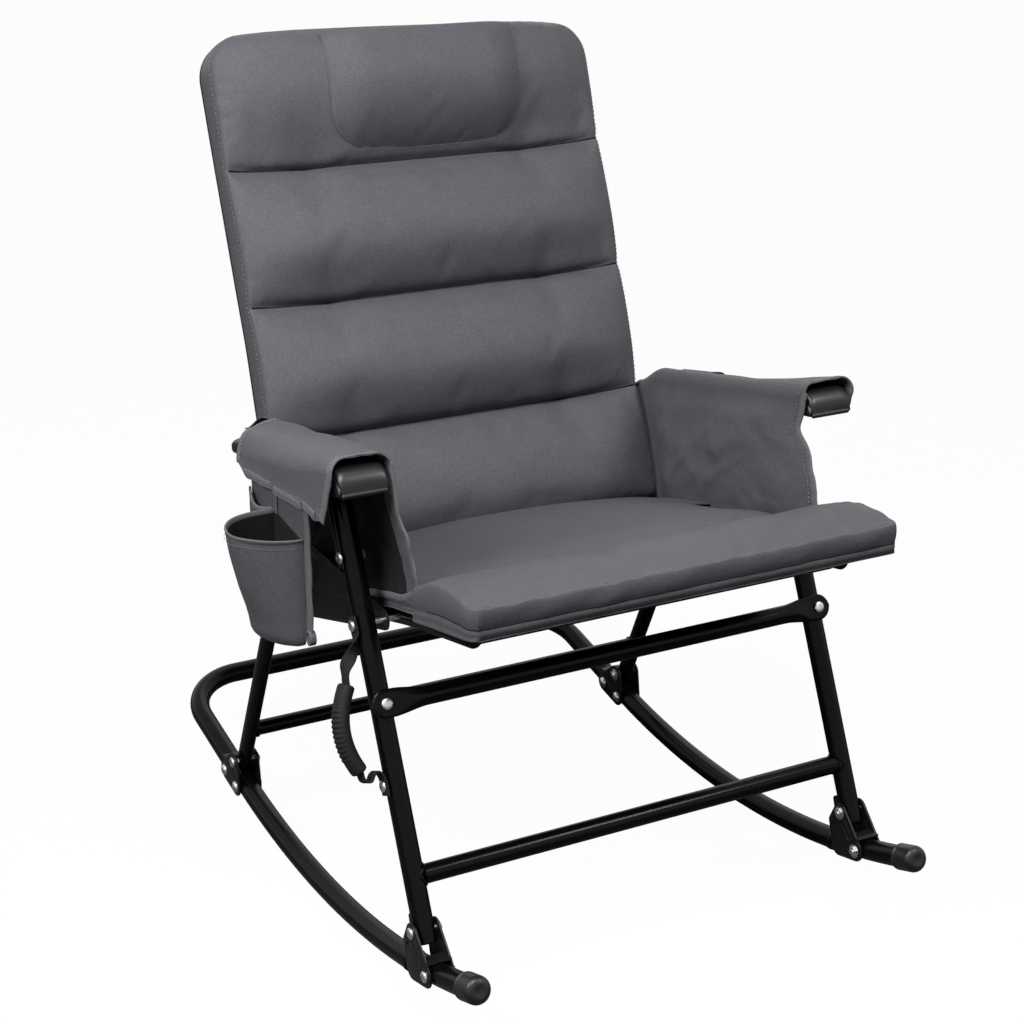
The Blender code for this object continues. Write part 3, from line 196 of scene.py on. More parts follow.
PANEL_BOTTOM_X = SEAT_HALF_WIDTH + LOOSE_GAP
POCKET_FRONT_Y = 0.320
POCKET_REAR_Y = 0.486
POCKET_BOTTOM_Z = 0.388
POCKET_BANDS = (("rear", 0.487, 0.409, 0.0000), ("front", 0.401, 0.322, -0.0030),
                ("tab", 0.315, 0.283, 0.0010))
POCKET_SEAM = ((0.405, 0.552), (0.409, 0.500))
PATCH_FRONT_Y = 0.416
PATCH_TOP_Z = 0.519
PATCH_BOTTOM_Z = 0.440
CUP_FRONT_Y = 0.333
CUP_REAR_Y = 0.414
CUP_BOTTOM_Z = 0.377
CUP_BULGE = (0.038, 0.069)
CUP_SKEW = 0.020
CUP_HEIGHT = 0.128
STRAP_HALF_WIDTH = 0.010
STRAP_THICKNESS = 0.0024
GRIP_LOW_UP = 0.190
GRIP_LENGTH = 0.098
GRIP_LOW_OUT = 0.026
GRIP_HIGH_OUT = 0.022
GRIP_BOW = 0.014
GRIP_HALF_WIDTH = 0.0130
GRIP_HALF_DEPTH = 0.0095
RIB_PITCH = 0.0052
CREASE_START_Y = 0.410
CREASE_DEPTH = 0.170

# Pitch, length and radius of the rows of stitches.
EDGE_STITCH = (0.0060, 0.0040, 0.0004)
ROLL_STITCH = (0.0060, 0.0042, 0.0004)
HEAD_STITCH = (0.0050, 0.0036, 0.0004)
BAND_STITCH = (0.0042, 0.0028, 0.0004)
CUP_STITCH = (0.0040, 0.0028, 0.0004)

# How far the cloth may settle over its stuffing, and its slack.
SEAT_SETTLE = (0.006, 0.008)
BACK_SETTLE = (0.008, 0.005)
HEAD_SETTLE = (0.004, 0.002)
STUFFING_FRAMES = 20
STUFFING = {
    "quality": 5, "mass": 0.25, "tension_stiffness": 18.0, "compression_stiffness": 18.0,
    "shear_stiffness": 6.0, "bending_stiffness": 2.5, "use_pressure": True, "uniform_pressure_force": 4.0,
    "vertex_group_mass": "sewn",
}

# Studio: the camera is fitted to the photograph, lamps have place, size, power and target.
CAMERA_AZIMUTH = math.radians(-28.968)
CAMERA_ELEVATION = math.radians(19.393)
CAMERA_PLACE = Vector((-1.2185, -1.7281, 1.3243))
SENSOR = 36.0
FOCAL_LENGTH = SENSOR * 2096.9 / 1024.0
WHITE = (1.0, 1.0, 1.0, 1.0)
ROOM_LIGHT = 0.032
LAMPS = {
    "key_lamp": ((-0.60, -1.00, 2.25), 0.8, 46.0, (0.0, 0.0, 0.5)),
    "left_lamp": ((-1.45, -0.45, 1.45), 0.7, 24.0, (-0.2, 0.0, 0.55)),
    "right_lamp": ((1.15, -1.50, 2.10), 0.6, 22.0, (0.0, 0.0, 0.5)),
    "rear_lamp": ((1.6, 2.2, 2.6), 1.6, 7.0, (0.0, 0.0, 0.5)),
}

X_AXIS = Vector((1.0, 0.0, 0.0))
Y_AXIS = Vector((0.0, 1.0, 0.0))
Z_AXIS = Vector((0.0, 0.0, 1.0))
UP_LEG = Vector((0.0, math.sin(FRONT_LEAN), math.cos(FRONT_LEAN)))
BEHIND_LEG = Vector((0.0, math.cos(FRONT_LEAN), -math.sin(FRONT_LEAN)))
UP_REAR_LEG = Vector((0.0, math.sin(REAR_LEAN), math.cos(REAR_LEAN)))
UP_BACK = Vector((0.0, math.sin(BACK_LEAN), math.cos(BACK_LEAN)))
OUT_OF_BACK = Vector((0.0, -math.cos(BACK_LEAN), math.sin(BACK_LEAN)))
ALONG_ARM = Vector((0.0, math.cos(ARM_SLOPE), -math.sin(ARM_SLOPE)))
ABOVE_ARM = Vector((0.0, math.sin(ARM_SLOPE), math.cos(ARM_SLOPE)))
SEAT_PIVOT = FRONT_PIVOT + SEAT_PIVOT_UP * UP_LEG
ARM_PIVOT = FRONT_PIVOT + ARM_PIVOT_UP * UP_LEG
CREASE = SEAT_PIVOT + Vector((0.0, 0.282, -0.040))
BACK_BASE = CREASE + 0.012 * UP_BACK + 0.004 * OUT_OF_BACK
PLACE = Vector(next(j["pos_m"] for j in frame["joints"] if j["name"] == "rear_leg_fold")) - REAR_PIVOT


# Finishes

class Nodes:
    """The nodes of one material or of the room."""

    def __init__(self, tree):
        self.tree = tree

    def fill(self, socket, value):
        if isinstance(value, Wire):
            self.tree.links.new(value.socket, socket)
        else:
            socket.default_value = value

    def node(self, kind, settings=None, values=None, out=0):
        made = self.tree.nodes.new(kind)
        for key, value in (settings or {}).items():
            setattr(made, key, value)
        for key, value in (values or {}).items():
            self.fill(made.inputs[key], value)
        return Wire(self, made.outputs[out])


class Finish(Nodes):
    """One material."""

    def __init__(self, name, colour, roughness, **settings):
        self.material = bpy.data.materials.new(name)
        self.material.use_nodes = True
        super().__init__(self.material.node_tree)
        self.shader = self.tree.nodes["Principled BSDF"]
        self.set("Base Color", (*colour, 1.0))
        self.set("Roughness", roughness)
        for socket, value in settings.items():
            self.set(socket.replace("_", " "), value)

    def set(self, socket, value):
        self.fill(self.shader.inputs[socket], value)

    def weave(self):
        """Places across and along the weave, on the piece's own map."""
        place = self.node("ShaderNodeUVMap", {"uv_map": "weave"})
        split = self.node("ShaderNodeSeparateXYZ", None, {0: place})
        return [split.beside(axis) for axis in ("X", "Y")]

    def cloud(self, scale, detail=2.0):
        values = {"Vector": self.node("ShaderNodeTexCoord", out="Object"), "Scale": scale, "Detail": detail}
        return self.node("ShaderNodeTexNoise", None, values)

    def tint(self, share, colour, dark, light):
        """The colour, darkened and lightened by a share."""
        values = {"Factor": share}
        for socket, level in ((6, dark), (7, light)):
            values[socket] = (*(level * part for part in colour), 1.0)
        self.set("Base Color", self.node("ShaderNodeMix", {"data_type": "RGBA"}, values, out=2))

    def bump(self, height, strength, distance):
        values = {"Height": height, "Strength": strength, "Distance": distance}
        self.set("Normal", self.node("ShaderNodeBump", None, values))


class Wire:
    """A socket that adds Math nodes when it is used in an expression."""

    def __init__(self, owner, socket):
        self.owner = owner
        self.socket = socket

    def beside(self, out):
        """Another output of the same node."""
        return Wire(self.owner, self.socket.node.outputs[out])

    def math(self, operation, first, second):
        return self.owner.node("ShaderNodeMath", {"operation": operation}, {0: first, 1: second})

    def __add__(self, other):
        return self.math("ADD", self, other)

    def __radd__(self, other):
        return self.math("ADD", other, self)

    def __sub__(self, other):
        return self.math("SUBTRACT", self, other)

    def __rsub__(self, other):
        return self.math("SUBTRACT", other, self)

    def __mul__(self, other):
        return self.math("MULTIPLY", self, other)

    def __rmul__(self, other):
        return self.math("MULTIPLY", other, self)

    def wave(self, pitch):
        """Runs from 0 to 1 and back over each pitch."""
        turn = self * (2.0 * math.pi / pitch)
        return self.math("SINE", turn, 0.0) * 0.5 + 0.5


def cloth_finish(name, colour, roughness, pitch, sheen):
    """Plain weave on the piece's own map, with soft mottling."""
    made = Finish(name, colour, roughness, Sheen_Weight=sheen, Sheen_Roughness=0.45, Specular_IOR_Level=0.12)
    mottle = made.cloud(38.0, 4.0)
    slub = made.cloud(420.0, 2.0)
    share = mottle * 0.22 + slub * 0.78
    made.tint(share, colour, 0.50, 1.50)
    made.set("Roughness", mottle * 0.10 + (roughness - 0.05))
    across, along = made.weave()
    weave = across.wave(pitch) * along.wave(pitch) + slub * 0.6
    made.bump(weave, 0.36, 0.0004)
    return made.material


def coat_finish(name, colour, roughness, grain, depth, gloss=0.12):
    """Powder coat or moulded skin: fine grain in the gloss."""
    made = Finish(name, colour, roughness, Specular_IOR_Level=gloss)
    cloud = made.cloud(14.0, 3.0)
    fine = made.cloud(grain, 2.0)
    made.tint(cloud, colour, 0.75, 1.35)
    made.set("Roughness", cloud * 0.14 + fine * 0.10 + (roughness - 0.12))
    made.bump(fine, 0.22, depth)
    return made.material


def metal_finish(name, colour, roughness):
    made = Finish(name, colour, roughness, Metallic=1.0)
    smear = made.cloud(320.0, 3.0)
    made.tint(smear, colour, 0.72, 1.0)
    made.set("Roughness", smear * 0.22 + (roughness - 0.10))
    made.bump(smear, 0.10, 0.0002)
    return made.material


def web_finish(name, colour):
    """Ribbed webbing: ribs across the tape, threads along it."""
    made = Finish(name, colour, 0.78, Specular_IOR_Level=0.15)
    across, along = made.weave()
    ribs = along.wave(0.0016) * 0.7 + across.wave(0.0022) * 0.5
    made.tint(ribs, colour, 0.6, 1.5)
    made.bump(ribs, 0.45, 0.0005)
    return made.material


CHARCOAL = (0.074, 0.072, 0.081)
COATS = {
    "fabric": cloth_finish("charcoal_fabric", CHARCOAL, 0.50, 0.0011, 0.03),
    "binding": cloth_finish("charcoal_binding", (0.098, 0.096, 0.105), 0.60, 0.0009, 0.04),
    # Black: the lining, and painted shade in seams, under the arms and inside the cup.
    "lining_and_shade": cloth_finish("black_lining_and_painted_shade", (0.006, 0.006, 0.0065), 0.85, 0.0010, 0.02),
    "thread": coat_finish("grey_thread", (0.155, 0.152, 0.162), 0.70, 1500.0, 0.0001),
    "tube": coat_finish("black_powder_coat", (0.0020, 0.0020, 0.0022), 0.20, 950.0, 0.00025, 0.10),
    "sheet": coat_finish("black_sheet_steel", (0.0060, 0.0060, 0.0063), 0.34, 1100.0, 0.0002, 0.20),
    "plastic": coat_finish("black_plastic", (0.0075, 0.0075, 0.0078), 0.36, 1600.0, 0.0002, 0.35),
    "rubber": coat_finish("black_rubber", (0.011, 0.011, 0.0115), 0.60, 1300.0, 0.0002),
    "webbing": web_finish("black_webbing", (0.010, 0.010, 0.011)),
    "zinc": metal_finish("zinc_plate", (0.66, 0.67, 0.69), 0.30),
    "brass": metal_finish("passivated_thread", (0.52, 0.38, 0.16), 0.34),
}


# Modelling helpers

def lone():
    if bpy.context.mode != "OBJECT":
        bpy.ops.object.mode_set(mode="OBJECT")
    bpy.ops.object.select_all(action="DESELECT")


def chosen(piece):
    lone()
    piece.select_set(True)
    bpy.context.view_layer.objects.active = piece


def named(name):
    bpy.context.object.name = name
    bpy.context.object.data.name = name
    return bpy.context.object


def smoothed(piece, angle=38.0):
    chosen(piece)
    bpy.ops.object.shade_smooth_by_angle(angle=math.radians(angle))
    return piece


def modified(piece, kind, **settings):
    chosen(piece)
    change = piece.modifiers.new(kind.lower(), kind)
    for key, value in settings.items():
        setattr(change, key, value)
    bpy.ops.object.modifier_apply(modifier=change.name)
    return piece


def keep(piece, body, slot, coat=None, nodes=()):
    """Dress a finished piece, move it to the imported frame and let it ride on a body."""
    piece.data.materials.clear()
    piece.data.materials.append(COATS[coat or slot])
    piece.data.transform(Matrix.Translation(PLACE))
    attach(piece, body)
    if nodes:
        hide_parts(*nodes)
    return piece


def pulled(name, rings):
    """Pull a disc through rings of points, one extrusion for each ring."""
    lone()
    bpy.ops.mesh.primitive_circle_add(vertices=len(rings[0]), fill_type="NGON")
    piece = named(name)
    bpy.ops.object.mode_set(mode="EDIT")
    edit = bmesh.from_edit_mesh(piece.data)
    step = edit.verts.layers.int.new("step")
    for index, vertex in enumerate(edit.verts):
        vertex[step] = index
        vertex.co = rings[0][index]
    bmesh.update_edit_mesh(piece.data)
    for ring in rings[1:]:
        bpy.ops.mesh.extrude_region()
        edit = bmesh.from_edit_mesh(piece.data)
        step = edit.verts.layers.int["step"]
        for vertex in edit.verts:
            if vertex.select:
                vertex.co = ring[vertex[step]]
        bmesh.update_edit_mesh(piece.data)
    bpy.ops.mesh.select_all(action="SELECT")
    bpy.ops.mesh.normals_make_consistent(inside=False)
    lone()
    return smoothed(piece)


def swept(name, path, section, side=None):
    """Pull a section along a path without twist; section(share) gives offsets to the side and across it."""
    rings = []
    for index, point in enumerate(path):
        ahead = path[min(index + 1, len(path) - 1)] - path[max(index - 1, 0)]
        tangent = ahead.normalized()
        side = side or tangent.orthogonal()
        side = (side - tangent * side.dot(tangent)).normalized()
        other = tangent.cross(side)
        share = index / (len(path) - 1)
        rings.append([point + side * a + other * b for a, b in section(share)])
    return pulled(name, rings)


def oval(wide, deep, sides=24):
    turns = [2.0 * math.pi * step / sides for step in range(sides)]
    return [(wide * math.cos(turn), deep * math.sin(turn)) for turn in turns]


def tube(name, path, radius, deep=None, sides=28, side=None, soft=0.0014):
    """A tube with its ends rounded over."""
    first = (path[1] - path[0]).normalized()
    last = (path[-2] - path[-1]).normalized()
    line = [path[0], path[0] + soft * first, *path[1:-1], path[-1] + soft * last, path[-1]]
    deep = deep or radius

    def section(share):
        inset = soft if share in (0.0, 1.0) else 0.0
        return oval(radius - inset, deep - inset, sides)

    return swept(name, line, section, side)


def tape(half_width, half_thick):
    """Rounded flat section of a strap or binding."""
    flat = half_width - half_thick
    section = []
    for middle, start in ((flat, -90.0), (-flat, 90.0)):
        for step in range(5):
            turn = math.radians(start + 45.0 * step)
            section.append((middle + half_thick * math.cos(turn), half_thick * math.sin(turn)))
    return section


def line_between(first, last, steps):
    return [first.lerp(last, step / steps) for step in range(steps + 1)]


def curve_through(points, steps):
    """Smooth path through points."""
    ends = [2.0 * points[0] - points[1], *points, 2.0 * points[-1] - points[-2]]
    path = []
    for a, b, c, d in zip(ends, ends[1:], ends[2:], ends[3:]):
        for step in range(steps):
            t = step / steps
            path.append(0.5 * (2.0 * b + (c - a) * t + (2.0 * a - 5.0 * b + 4.0 * c - d) * t * t
                               + (3.0 * b - a - 3.0 * c + d) * t ** 3))
    return path + [points[-1]]


def spaced(path, pitch):
    """Points at an even pitch along a path, with their directions."""
    found = []
    left = 0.5 * pitch
    for start, end in zip(path, path[1:]):
        length = (end - start).length
        while left < length:
            found.append((start.lerp(end, left / length), (end - start).normalized()))
            left += pitch
        left -= length
    return found


def refined(node, width, body, slot, name=None):
    """A merged copy of a node with its sharp edges broken."""
    piece = bpy.data.objects.new(name or f"{node}_finished", frame["nodes"][node].data.copy())
    bpy.context.scene.collection.objects.link(piece)
    chosen(piece)
    bpy.ops.object.mode_set(mode="EDIT")
    bpy.ops.mesh.select_all(action="SELECT")
    bpy.ops.mesh.remove_doubles(threshold=0.00002)
    bpy.ops.mesh.dissolve_limited(angle_limit=math.radians(2.0))
    bpy.ops.mesh.customdata_custom_splitnormals_clear()
    lone()
    modified(piece, "BEVEL", width=width, segments=3, limit_method="ANGLE", angle_limit=math.radians(32.0),
             harden_normals=False)
    smoothed(piece, 35.0)
    piece.data.transform(Matrix.Translation(-PLACE))
    return keep(piece, body, slot, nodes=(node,))


def mapped(piece, places):
    """Put the vertices in place and lay out the weave's own map, in metres."""
    for vertex, (point, _) in zip(piece.data.vertices, places):
        vertex.co = point
    layer = piece.data.uv_layers.get("weave") or piece.data.uv_layers.new(name="weave")
    for loop in piece.data.loops:
        layer.data[loop.index].uv = places[loop.vertex_index][1]
    for spare in [item for item in piece.data.uv_layers if item.name != "weave"]:
        piece.data.uv_layers.remove(spare)
    return piece


def pad(name, columns, rows, cuts, shape, held, reach, slack):
    """A stuffed case: a front and a back sheet joined by a gusset. shape(u, v, w) gives point and map."""
    lone()
    bpy.ops.mesh.primitive_grid_add(x_subdivisions=columns, y_subdivisions=rows, size=2.0)
    piece = named(name)
    bpy.ops.object.mode_set(mode="EDIT")
    bpy.ops.mesh.select_mode(type="EDGE")
    bpy.ops.mesh.select_all(action="SELECT")
    bpy.ops.mesh.duplicate()
    bpy.ops.transform.translate(value=(0.0, 0.0, -1.0))
    bpy.ops.mesh.flip_normals()
    bpy.ops.mesh.select_all(action="DESELECT")
    bpy.ops.mesh.select_non_manifold(extend=False)
    bpy.ops.mesh.bridge_edge_loops(number_cuts=cuts, interpolation="LINEAR")
    lone()
    plan = [(v.co.x, v.co.y, -v.co.z) for v in piece.data.vertices]
    mapped(piece, [shape(*spot) for spot in plan])
    chosen(piece)
    bpy.ops.object.mode_set(mode="EDIT")
    bpy.ops.mesh.select_all(action="SELECT")
    bpy.ops.mesh.normals_make_consistent(inside=False)
    lone()
    stuffed(piece, [held(*spot) for spot in plan], reach, slack)
    modified(piece, "SUBSURF", levels=1, render_levels=1)
    return smoothed(piece, 60.0)


def stuffed(piece, weights, reach, slack):
    """Let the case settle over its stuffing: sewn points hold and the others move by the reach at most."""
    before = [vertex.co.copy() for vertex in piece.data.vertices]
    group = piece.vertex_groups.new(name="sewn")
    for index, weight in enumerate(weights):
        group.add([index], weight, "REPLACE")
    chosen(piece)
    change = piece.modifiers.new("stuffing", "CLOTH")
    for key, value in {**STUFFING, "shrink_min": -slack, "shrink_max": -slack}.items():
        setattr(change.settings, key, value)
    change.settings.effector_weights.gravity = 0.0
    change.collision_settings.use_collision = False
    change.point_cache.frame_start = 1
    change.point_cache.frame_end = STUFFING_FRAMES
    for number in range(1, STUFFING_FRAMES + 1):
        bpy.context.scene.frame_set(number)
    bpy.ops.object.modifier_apply(modifier=change.name)
    bpy.context.scene.frame_set(1)
    piece.vertex_groups.clear()
    for vertex, start in zip(piece.data.vertices, before):
        move = vertex.co - start
        vertex.co = start + move * (reach / (reach + move.length))


def cloth(name, columns, rows, thickness, shape):
    """A sheet: shape(u, v) gives the point and the map."""
    lone()
    bpy.ops.mesh.primitive_grid_add(x_subdivisions=columns, y_subdivisions=rows, size=2.0)
    piece = named(name)
    mapped(piece, [shape(v.co.x, v.co.y) for v in piece.data.vertices])
    modified(piece, "SOLIDIFY", thickness=thickness, offset=0.0)
    return smoothed(piece, 50.0)


def stitches(name, path, body, pitch=0.0052, length=0.0036, radius=0.00055):
    """A row of topstitching: one stitch, copied along the path."""
    lone()
    bpy.ops.mesh.primitive_uv_sphere_add(segments=6, ring_count=4, radius=1.0)
    master = named(name + "_stitch")
    row = bmesh.new()
    for point, direction in spaced(path, pitch):
        turn = direction.to_track_quat("Z", "X").to_matrix().to_4x4()
        size = Matrix.Diagonal((radius, radius, 0.5 * length, 1.0))
        before = len(row.verts)
        row.from_mesh(master.data)
        row.verts.ensure_lookup_table()
        bmesh.ops.transform(row, matrix=Matrix.Translation(point) @ turn @ size, verts=row.verts[before:])
    row.to_mesh(master.data)
    row.free()
    master.name = name
    master.data.name = name
    smoothed(master, 80.0)
    return keep(master, body, "fabric", "thread")


def binding(name, path, half_width, half_thick, side):
    """Tape sewn round an edge of the arms' cloth."""
    trim = swept(name, path, lambda share: tape(half_width, half_thick), side)
    return keep(trim, "armrests", "fabric", "binding")


def row_at(rows, v):
    """The row of a pad at a place from -1 to 1 on its map."""
    return rows[round(0.5 * (v + 1.0) * (len(rows) - 1))]


def blunt(value, power):
    """A side of a rounded box, from one of a circle."""
    return math.copysign(abs(value) ** power, value)


def smooth_step(low, high, value):
    share = min(max((value - low) / (high - low), 0.0), 1.0)
    return share * share * (3.0 - 2.0 * share)


def bell(value, width):
    return math.exp(-(value / width) ** 2)


def crinkle(x, y, z, size):
    return noise.noise(Vector((x, y, z)) / size)


# Frame

def rail_point(x, y):
    bent = min(y, RAIL_JOINT_Y) - RAIL_LOW_Y
    fall = math.sqrt(RAIL_ARC_RADIUS ** 2 - bent ** 2)
    rise = max(y - RAIL_JOINT_Y, 0.0) * bent / fall
    return Vector((x, y, RAIL_RADIUS + RAIL_ARC_RADIUS - fall + rise))


def rail_path(x, start, end, steps):
    return [rail_point(x, start + (end - start) * step / steps) for step in range(steps + 1)]


def hoop_path():
    bend_start = HOOP_REAR_Y - HOOP_CORNER_RADIUS
    centre_x = LEG_X - HOOP_CORNER_RADIUS
    right = rail_path(-LEG_X, RAIL_JOINT_Y + CURVED_GAP, bend_start, 6)
    for step in range(1, 17):
        angle = 0.5 * math.pi * step / 16
        y = bend_start + HOOP_CORNER_RADIUS * math.sin(angle)
        right.append(rail_point(-centre_x - HOOP_CORNER_RADIUS * math.cos(angle), y))
    return right + [Vector((-point.x, point.y, point.z)) for point in reversed(right)]


def leg_point(x, up, behind=0.0):
    return Vector((x, 0.0, 0.0)) + FRONT_PIVOT + up * UP_LEG + behind * BEHIND_LEG


def rear_point(x, up):
    return Vector((x, 0.0, 0.0)) + REAR_PIVOT + up * UP_REAR_LEG


def seat_rail_z(y):
    if y < SEAT_PIVOT.y:
        share = (y - SEAT_RAIL_FRONT_Y) / (SEAT_PIVOT.y - SEAT_RAIL_FRONT_Y)
        return SEAT_RAIL_FRONT_Z + share * (SEAT_PIVOT.z - SEAT_RAIL_FRONT_Z)
    share = (y - SEAT_PIVOT.y) / (SEAT_RAIL_REAR_Y - SEAT_PIVOT.y)
    return SEAT_PIVOT.z + share * (SEAT_RAIL_REAR_Z - SEAT_PIVOT.z)


def back_point(x, up, out):
    return Vector((x, 0.0, 0.0)) + BACK_BASE + up * UP_BACK + out * OUT_OF_BACK


def arm_point(x, along, above):
    return Vector((x, 0.0, 0.0)) + ARM_PIVOT + along * ALONG_ARM + above * ABOVE_ARM


def turned(name, base, axis, profile, sides=24):
    """A turned piece: profile holds (distance along the axis, radius)."""
    side = axis.orthogonal().normalized()
    other = axis.cross(side)
    rings = []
    for along, radius in profile:
        rings.append([base + axis * along + side * a + other * b for a, b in oval(radius, radius, sides)])
    return pulled(name, rings)


def weld(name, body, path, radius):
    """A rippled bead along a seam."""
    def bead(share):
        swell = radius * (1.0 + 0.16 * math.sin(90.0 * share))
        return oval(swell, swell, 8)

    keep(swept(name, path, bead), body, "tube")


def saddle(up, bar_radius, sign, leg_radius):
    """Where a crossbar of the front legs meets the leg."""
    path = []
    for step in range(37):
        turn = 2.0 * math.pi * step / 36
        behind = bar_radius * math.sin(turn)
        inside = LEG_X - math.sqrt(leg_radius ** 2 - min(abs(behind), leg_radius * 0.97) ** 2)
        path.append(leg_point(sign * inside, up + bar_radius * math.cos(turn), behind))
    return path


def collar_section(share):
    radius = RAIL_RADIUS + (0.0002 if share in (0.0, 1.0) else 0.0012)
    return oval(radius, radius, 28)


def make_rocker():
    for side, sign in SIDES:
        x = sign * LEG_X
        rail = tube(f"rail_{side}", rail_path(x, RAIL_FRONT_Y, RAIL_JOINT_Y, 48), RAIL_RADIUS)
        keep(rail, "rocker", "tube", nodes=(f"rocker_rail_{side}",))
        front = rail_point(x, RAIL_FRONT_Y)
        forwards = (front - rail_point(x, RAIL_FRONT_Y + 0.01)).normalized()
        lip = CAP_RADIUS - 0.0006
        profile = [(GAP, RAIL_RADIUS + 0.0008), (GAP + 0.0008, CAP_RADIUS), (0.004, CAP_RADIUS),
                   (0.0046, lip), (0.0060, lip), (0.0066, CAP_RADIUS), (CAP_LENGTH - CAP_ROUND, CAP_RADIUS)]
        for step in range(1, 9):
            turn = 0.5 * math.pi * step / 8
            profile.append((CAP_LENGTH - CAP_ROUND + CAP_ROUND * math.sin(turn),
                            CAP_RADIUS - CAP_ROUND * (1.0 - math.cos(turn))))
        profile.append((CAP_LENGTH - 0.0008, 0.30 * CAP_RADIUS))
        cap = turned(f"cap_{side}", front, forwards, profile, 40)
        keep(cap, "rocker", "plastic", nodes=(f"rocker_cap_{side}",))
        behind = [rail_point(x, y) for y in COLLAR_Y]
        keep(swept(f"rail_collar_{side}", behind, collar_section), "rocker", "tube")
        refined(f"front_bracket_{side}", 0.0007, "rocker", "sheet")
        refined(f"rear_bracket_{side}", 0.0007, "rocker", "sheet")
        refined(f"front_latch_{side}", 0.0006, f"latch_{side}", "sheet")
        make_pressing(side, sign)
    hoop = tube("hoop", hoop_path(), RAIL_RADIUS)
    keep(hoop, "rocker", "tube", nodes=("rocker_hoop",))


def make_pressing(side, sign):
    """Pressed oblong on both ears of the front bracket, and plated rivet heads on the rear one."""
    low = rail_point(0.0, FRONT_RAIL_BOLT_Y)
    top = FRONT_PIVOT
    upwards = (top - low).normalized()
    across = X_AXIS.cross(upwards)
    middle = low.lerp(top, 0.52)
    for place, way in (("outer", 1.0), ("inner", -1.0)):
        face = sign * LEG_X + way * EAR_OUTER
        path = []
        for step in range(33):
            turn = 2.0 * math.pi * step / 32
            reach = 0.009 if math.cos(turn) > 0.0 else -0.009
            spot = middle + upwards * (reach + 0.0042 * math.cos(turn)) + across * (0.0042 * math.sin(turn))
            path.append(Vector((face, spot.y, spot.z)))
        ring = swept(f"bracket_pressing_{place}_{side}", path, lambda share: oval(0.0007, 0.0007, 8), X_AXIS)
        keep(ring, "rocker", "sheet")
        for number, y in enumerate(REAR_RAIL_BOLT_Y):
            spot = rail_point(face, y)
            dome = [(0.0, 1.16 * HEAD_RADIUS), (0.0006, 1.16 * HEAD_RADIUS), (0.0007, 1.02 * HEAD_RADIUS)]
            for step in range(1, 6):
                turn = 0.5 * math.pi * step / 6
                dome.append((0.0007 + 0.0036 * math.sin(turn), 1.02 * HEAD_RADIUS * math.cos(turn)))
            rivet = turned(f"rear_rivet_{place}_{number}_{side}", spot, X_AXIS * way, dome)
            keep(rivet, "rocker", "zinc")


def make_legs():
    for side, sign in SIDES:
        x = sign * LEG_X
        path = line_between(leg_point(x, -LEG_FOOT), leg_point(x, LEG_TOP_UP), 10)
        keep(tube(f"leg_{side}", path, LEG_RADIUS), "front_legs", "tube", nodes=(f"front_leg_{side}",))
        path = line_between(rear_point(x, -REAR_FOOT), rear_point(x, REAR_TOP_UP), 8)
        rear = tube(f"rear_tube_{side}", path, REAR_HALF_THICKNESS, REAR_HALF_WIDTH, side=X_AXIS)
        keep(rear, "rear_legs", "tube", nodes=(f"rear_leg_{side}",))
        path = saddle(LOWER_BAR_UP, CROSSBAR_RADIUS + 0.0006, sign, LEG_RADIUS)
        weld(f"lower_weld_{side}", "front_legs", path, 0.0019)
        ring = []
        inside = sign * (LEG_X - REAR_HALF_THICKNESS)
        for a, b in oval(REAR_BAR_RADIUS + 0.0004, REAR_BAR_RADIUS + 0.0004, 36):
            ring.append(rear_point(inside, REAR_BAR_UP) + Vector((0.0, a, b)))
        weld(f"rear_weld_{side}", "rear_legs", ring + ring[:1], 0.0018)
    lower = line_between(leg_point(-LEG_X + LEG_RADIUS - 0.002, LOWER_BAR_UP),
                         leg_point(LEG_X - LEG_RADIUS + 0.002, LOWER_BAR_UP), 6)
    keep(tube("lower_bar", lower, CROSSBAR_RADIUS), "front_legs", "tube", nodes=("lower_crossbar",))
    across = LEG_X - REAR_HALF_THICKNESS + 0.001
    rear_bar = line_between(rear_point(-across, REAR_BAR_UP), rear_point(across, REAR_BAR_UP), 6)
    keep(tube("rear_bar", rear_bar, REAR_BAR_RADIUS), "rear_legs", "tube", nodes=("rear_crossbar",))
    make_upper_bar()


def make_upper_bar():
    """A round tube whose ends are pressed flat against the front of the legs."""
    behind = -(LEG_RADIUS + GAP + 0.5 * TONGUE_THICKNESS)
    flat = 0.5 * TONGUE_THICKNESS
    half = []
    for step in range(11):
        turn = 0.5 * math.pi * step / 10
        tall = max(TONGUE_HALF_HEIGHT * math.sin(turn), 0.002)
        half.append((LEG_X + TONGUE_HALF_HEIGHT * math.cos(turn), tall, flat))
    for step in range(1, 17):
        share = step / 16
        blend = smooth_step(0.12, 1.0, share)
        half.append((LEG_X - 0.052 * share,
                     TONGUE_HALF_HEIGHT + (CROSSBAR_RADIUS - TONGUE_HALF_HEIGHT) * blend,
                     flat + (CROSSBAR_RADIUS - flat) * blend))
    stations = [(-x, tall, deep) for x, tall, deep in half] + list(reversed(half))
    rings = []
    for x, tall, deep in stations:
        power = 0.35 + 0.65 * min(max((deep - flat) / (CROSSBAR_RADIUS - flat), 0.0), 1.0)
        ring = []
        for a, b in oval(1.0, 1.0, 28):
            ring.append(leg_point(x, UPPER_BAR_UP + tall * a, behind + deep * blunt(b, power)))
        rings.append(ring)
    keep(pulled("upper_bar", rings), "front_legs", "tube", nodes=("upper_crossbar",))


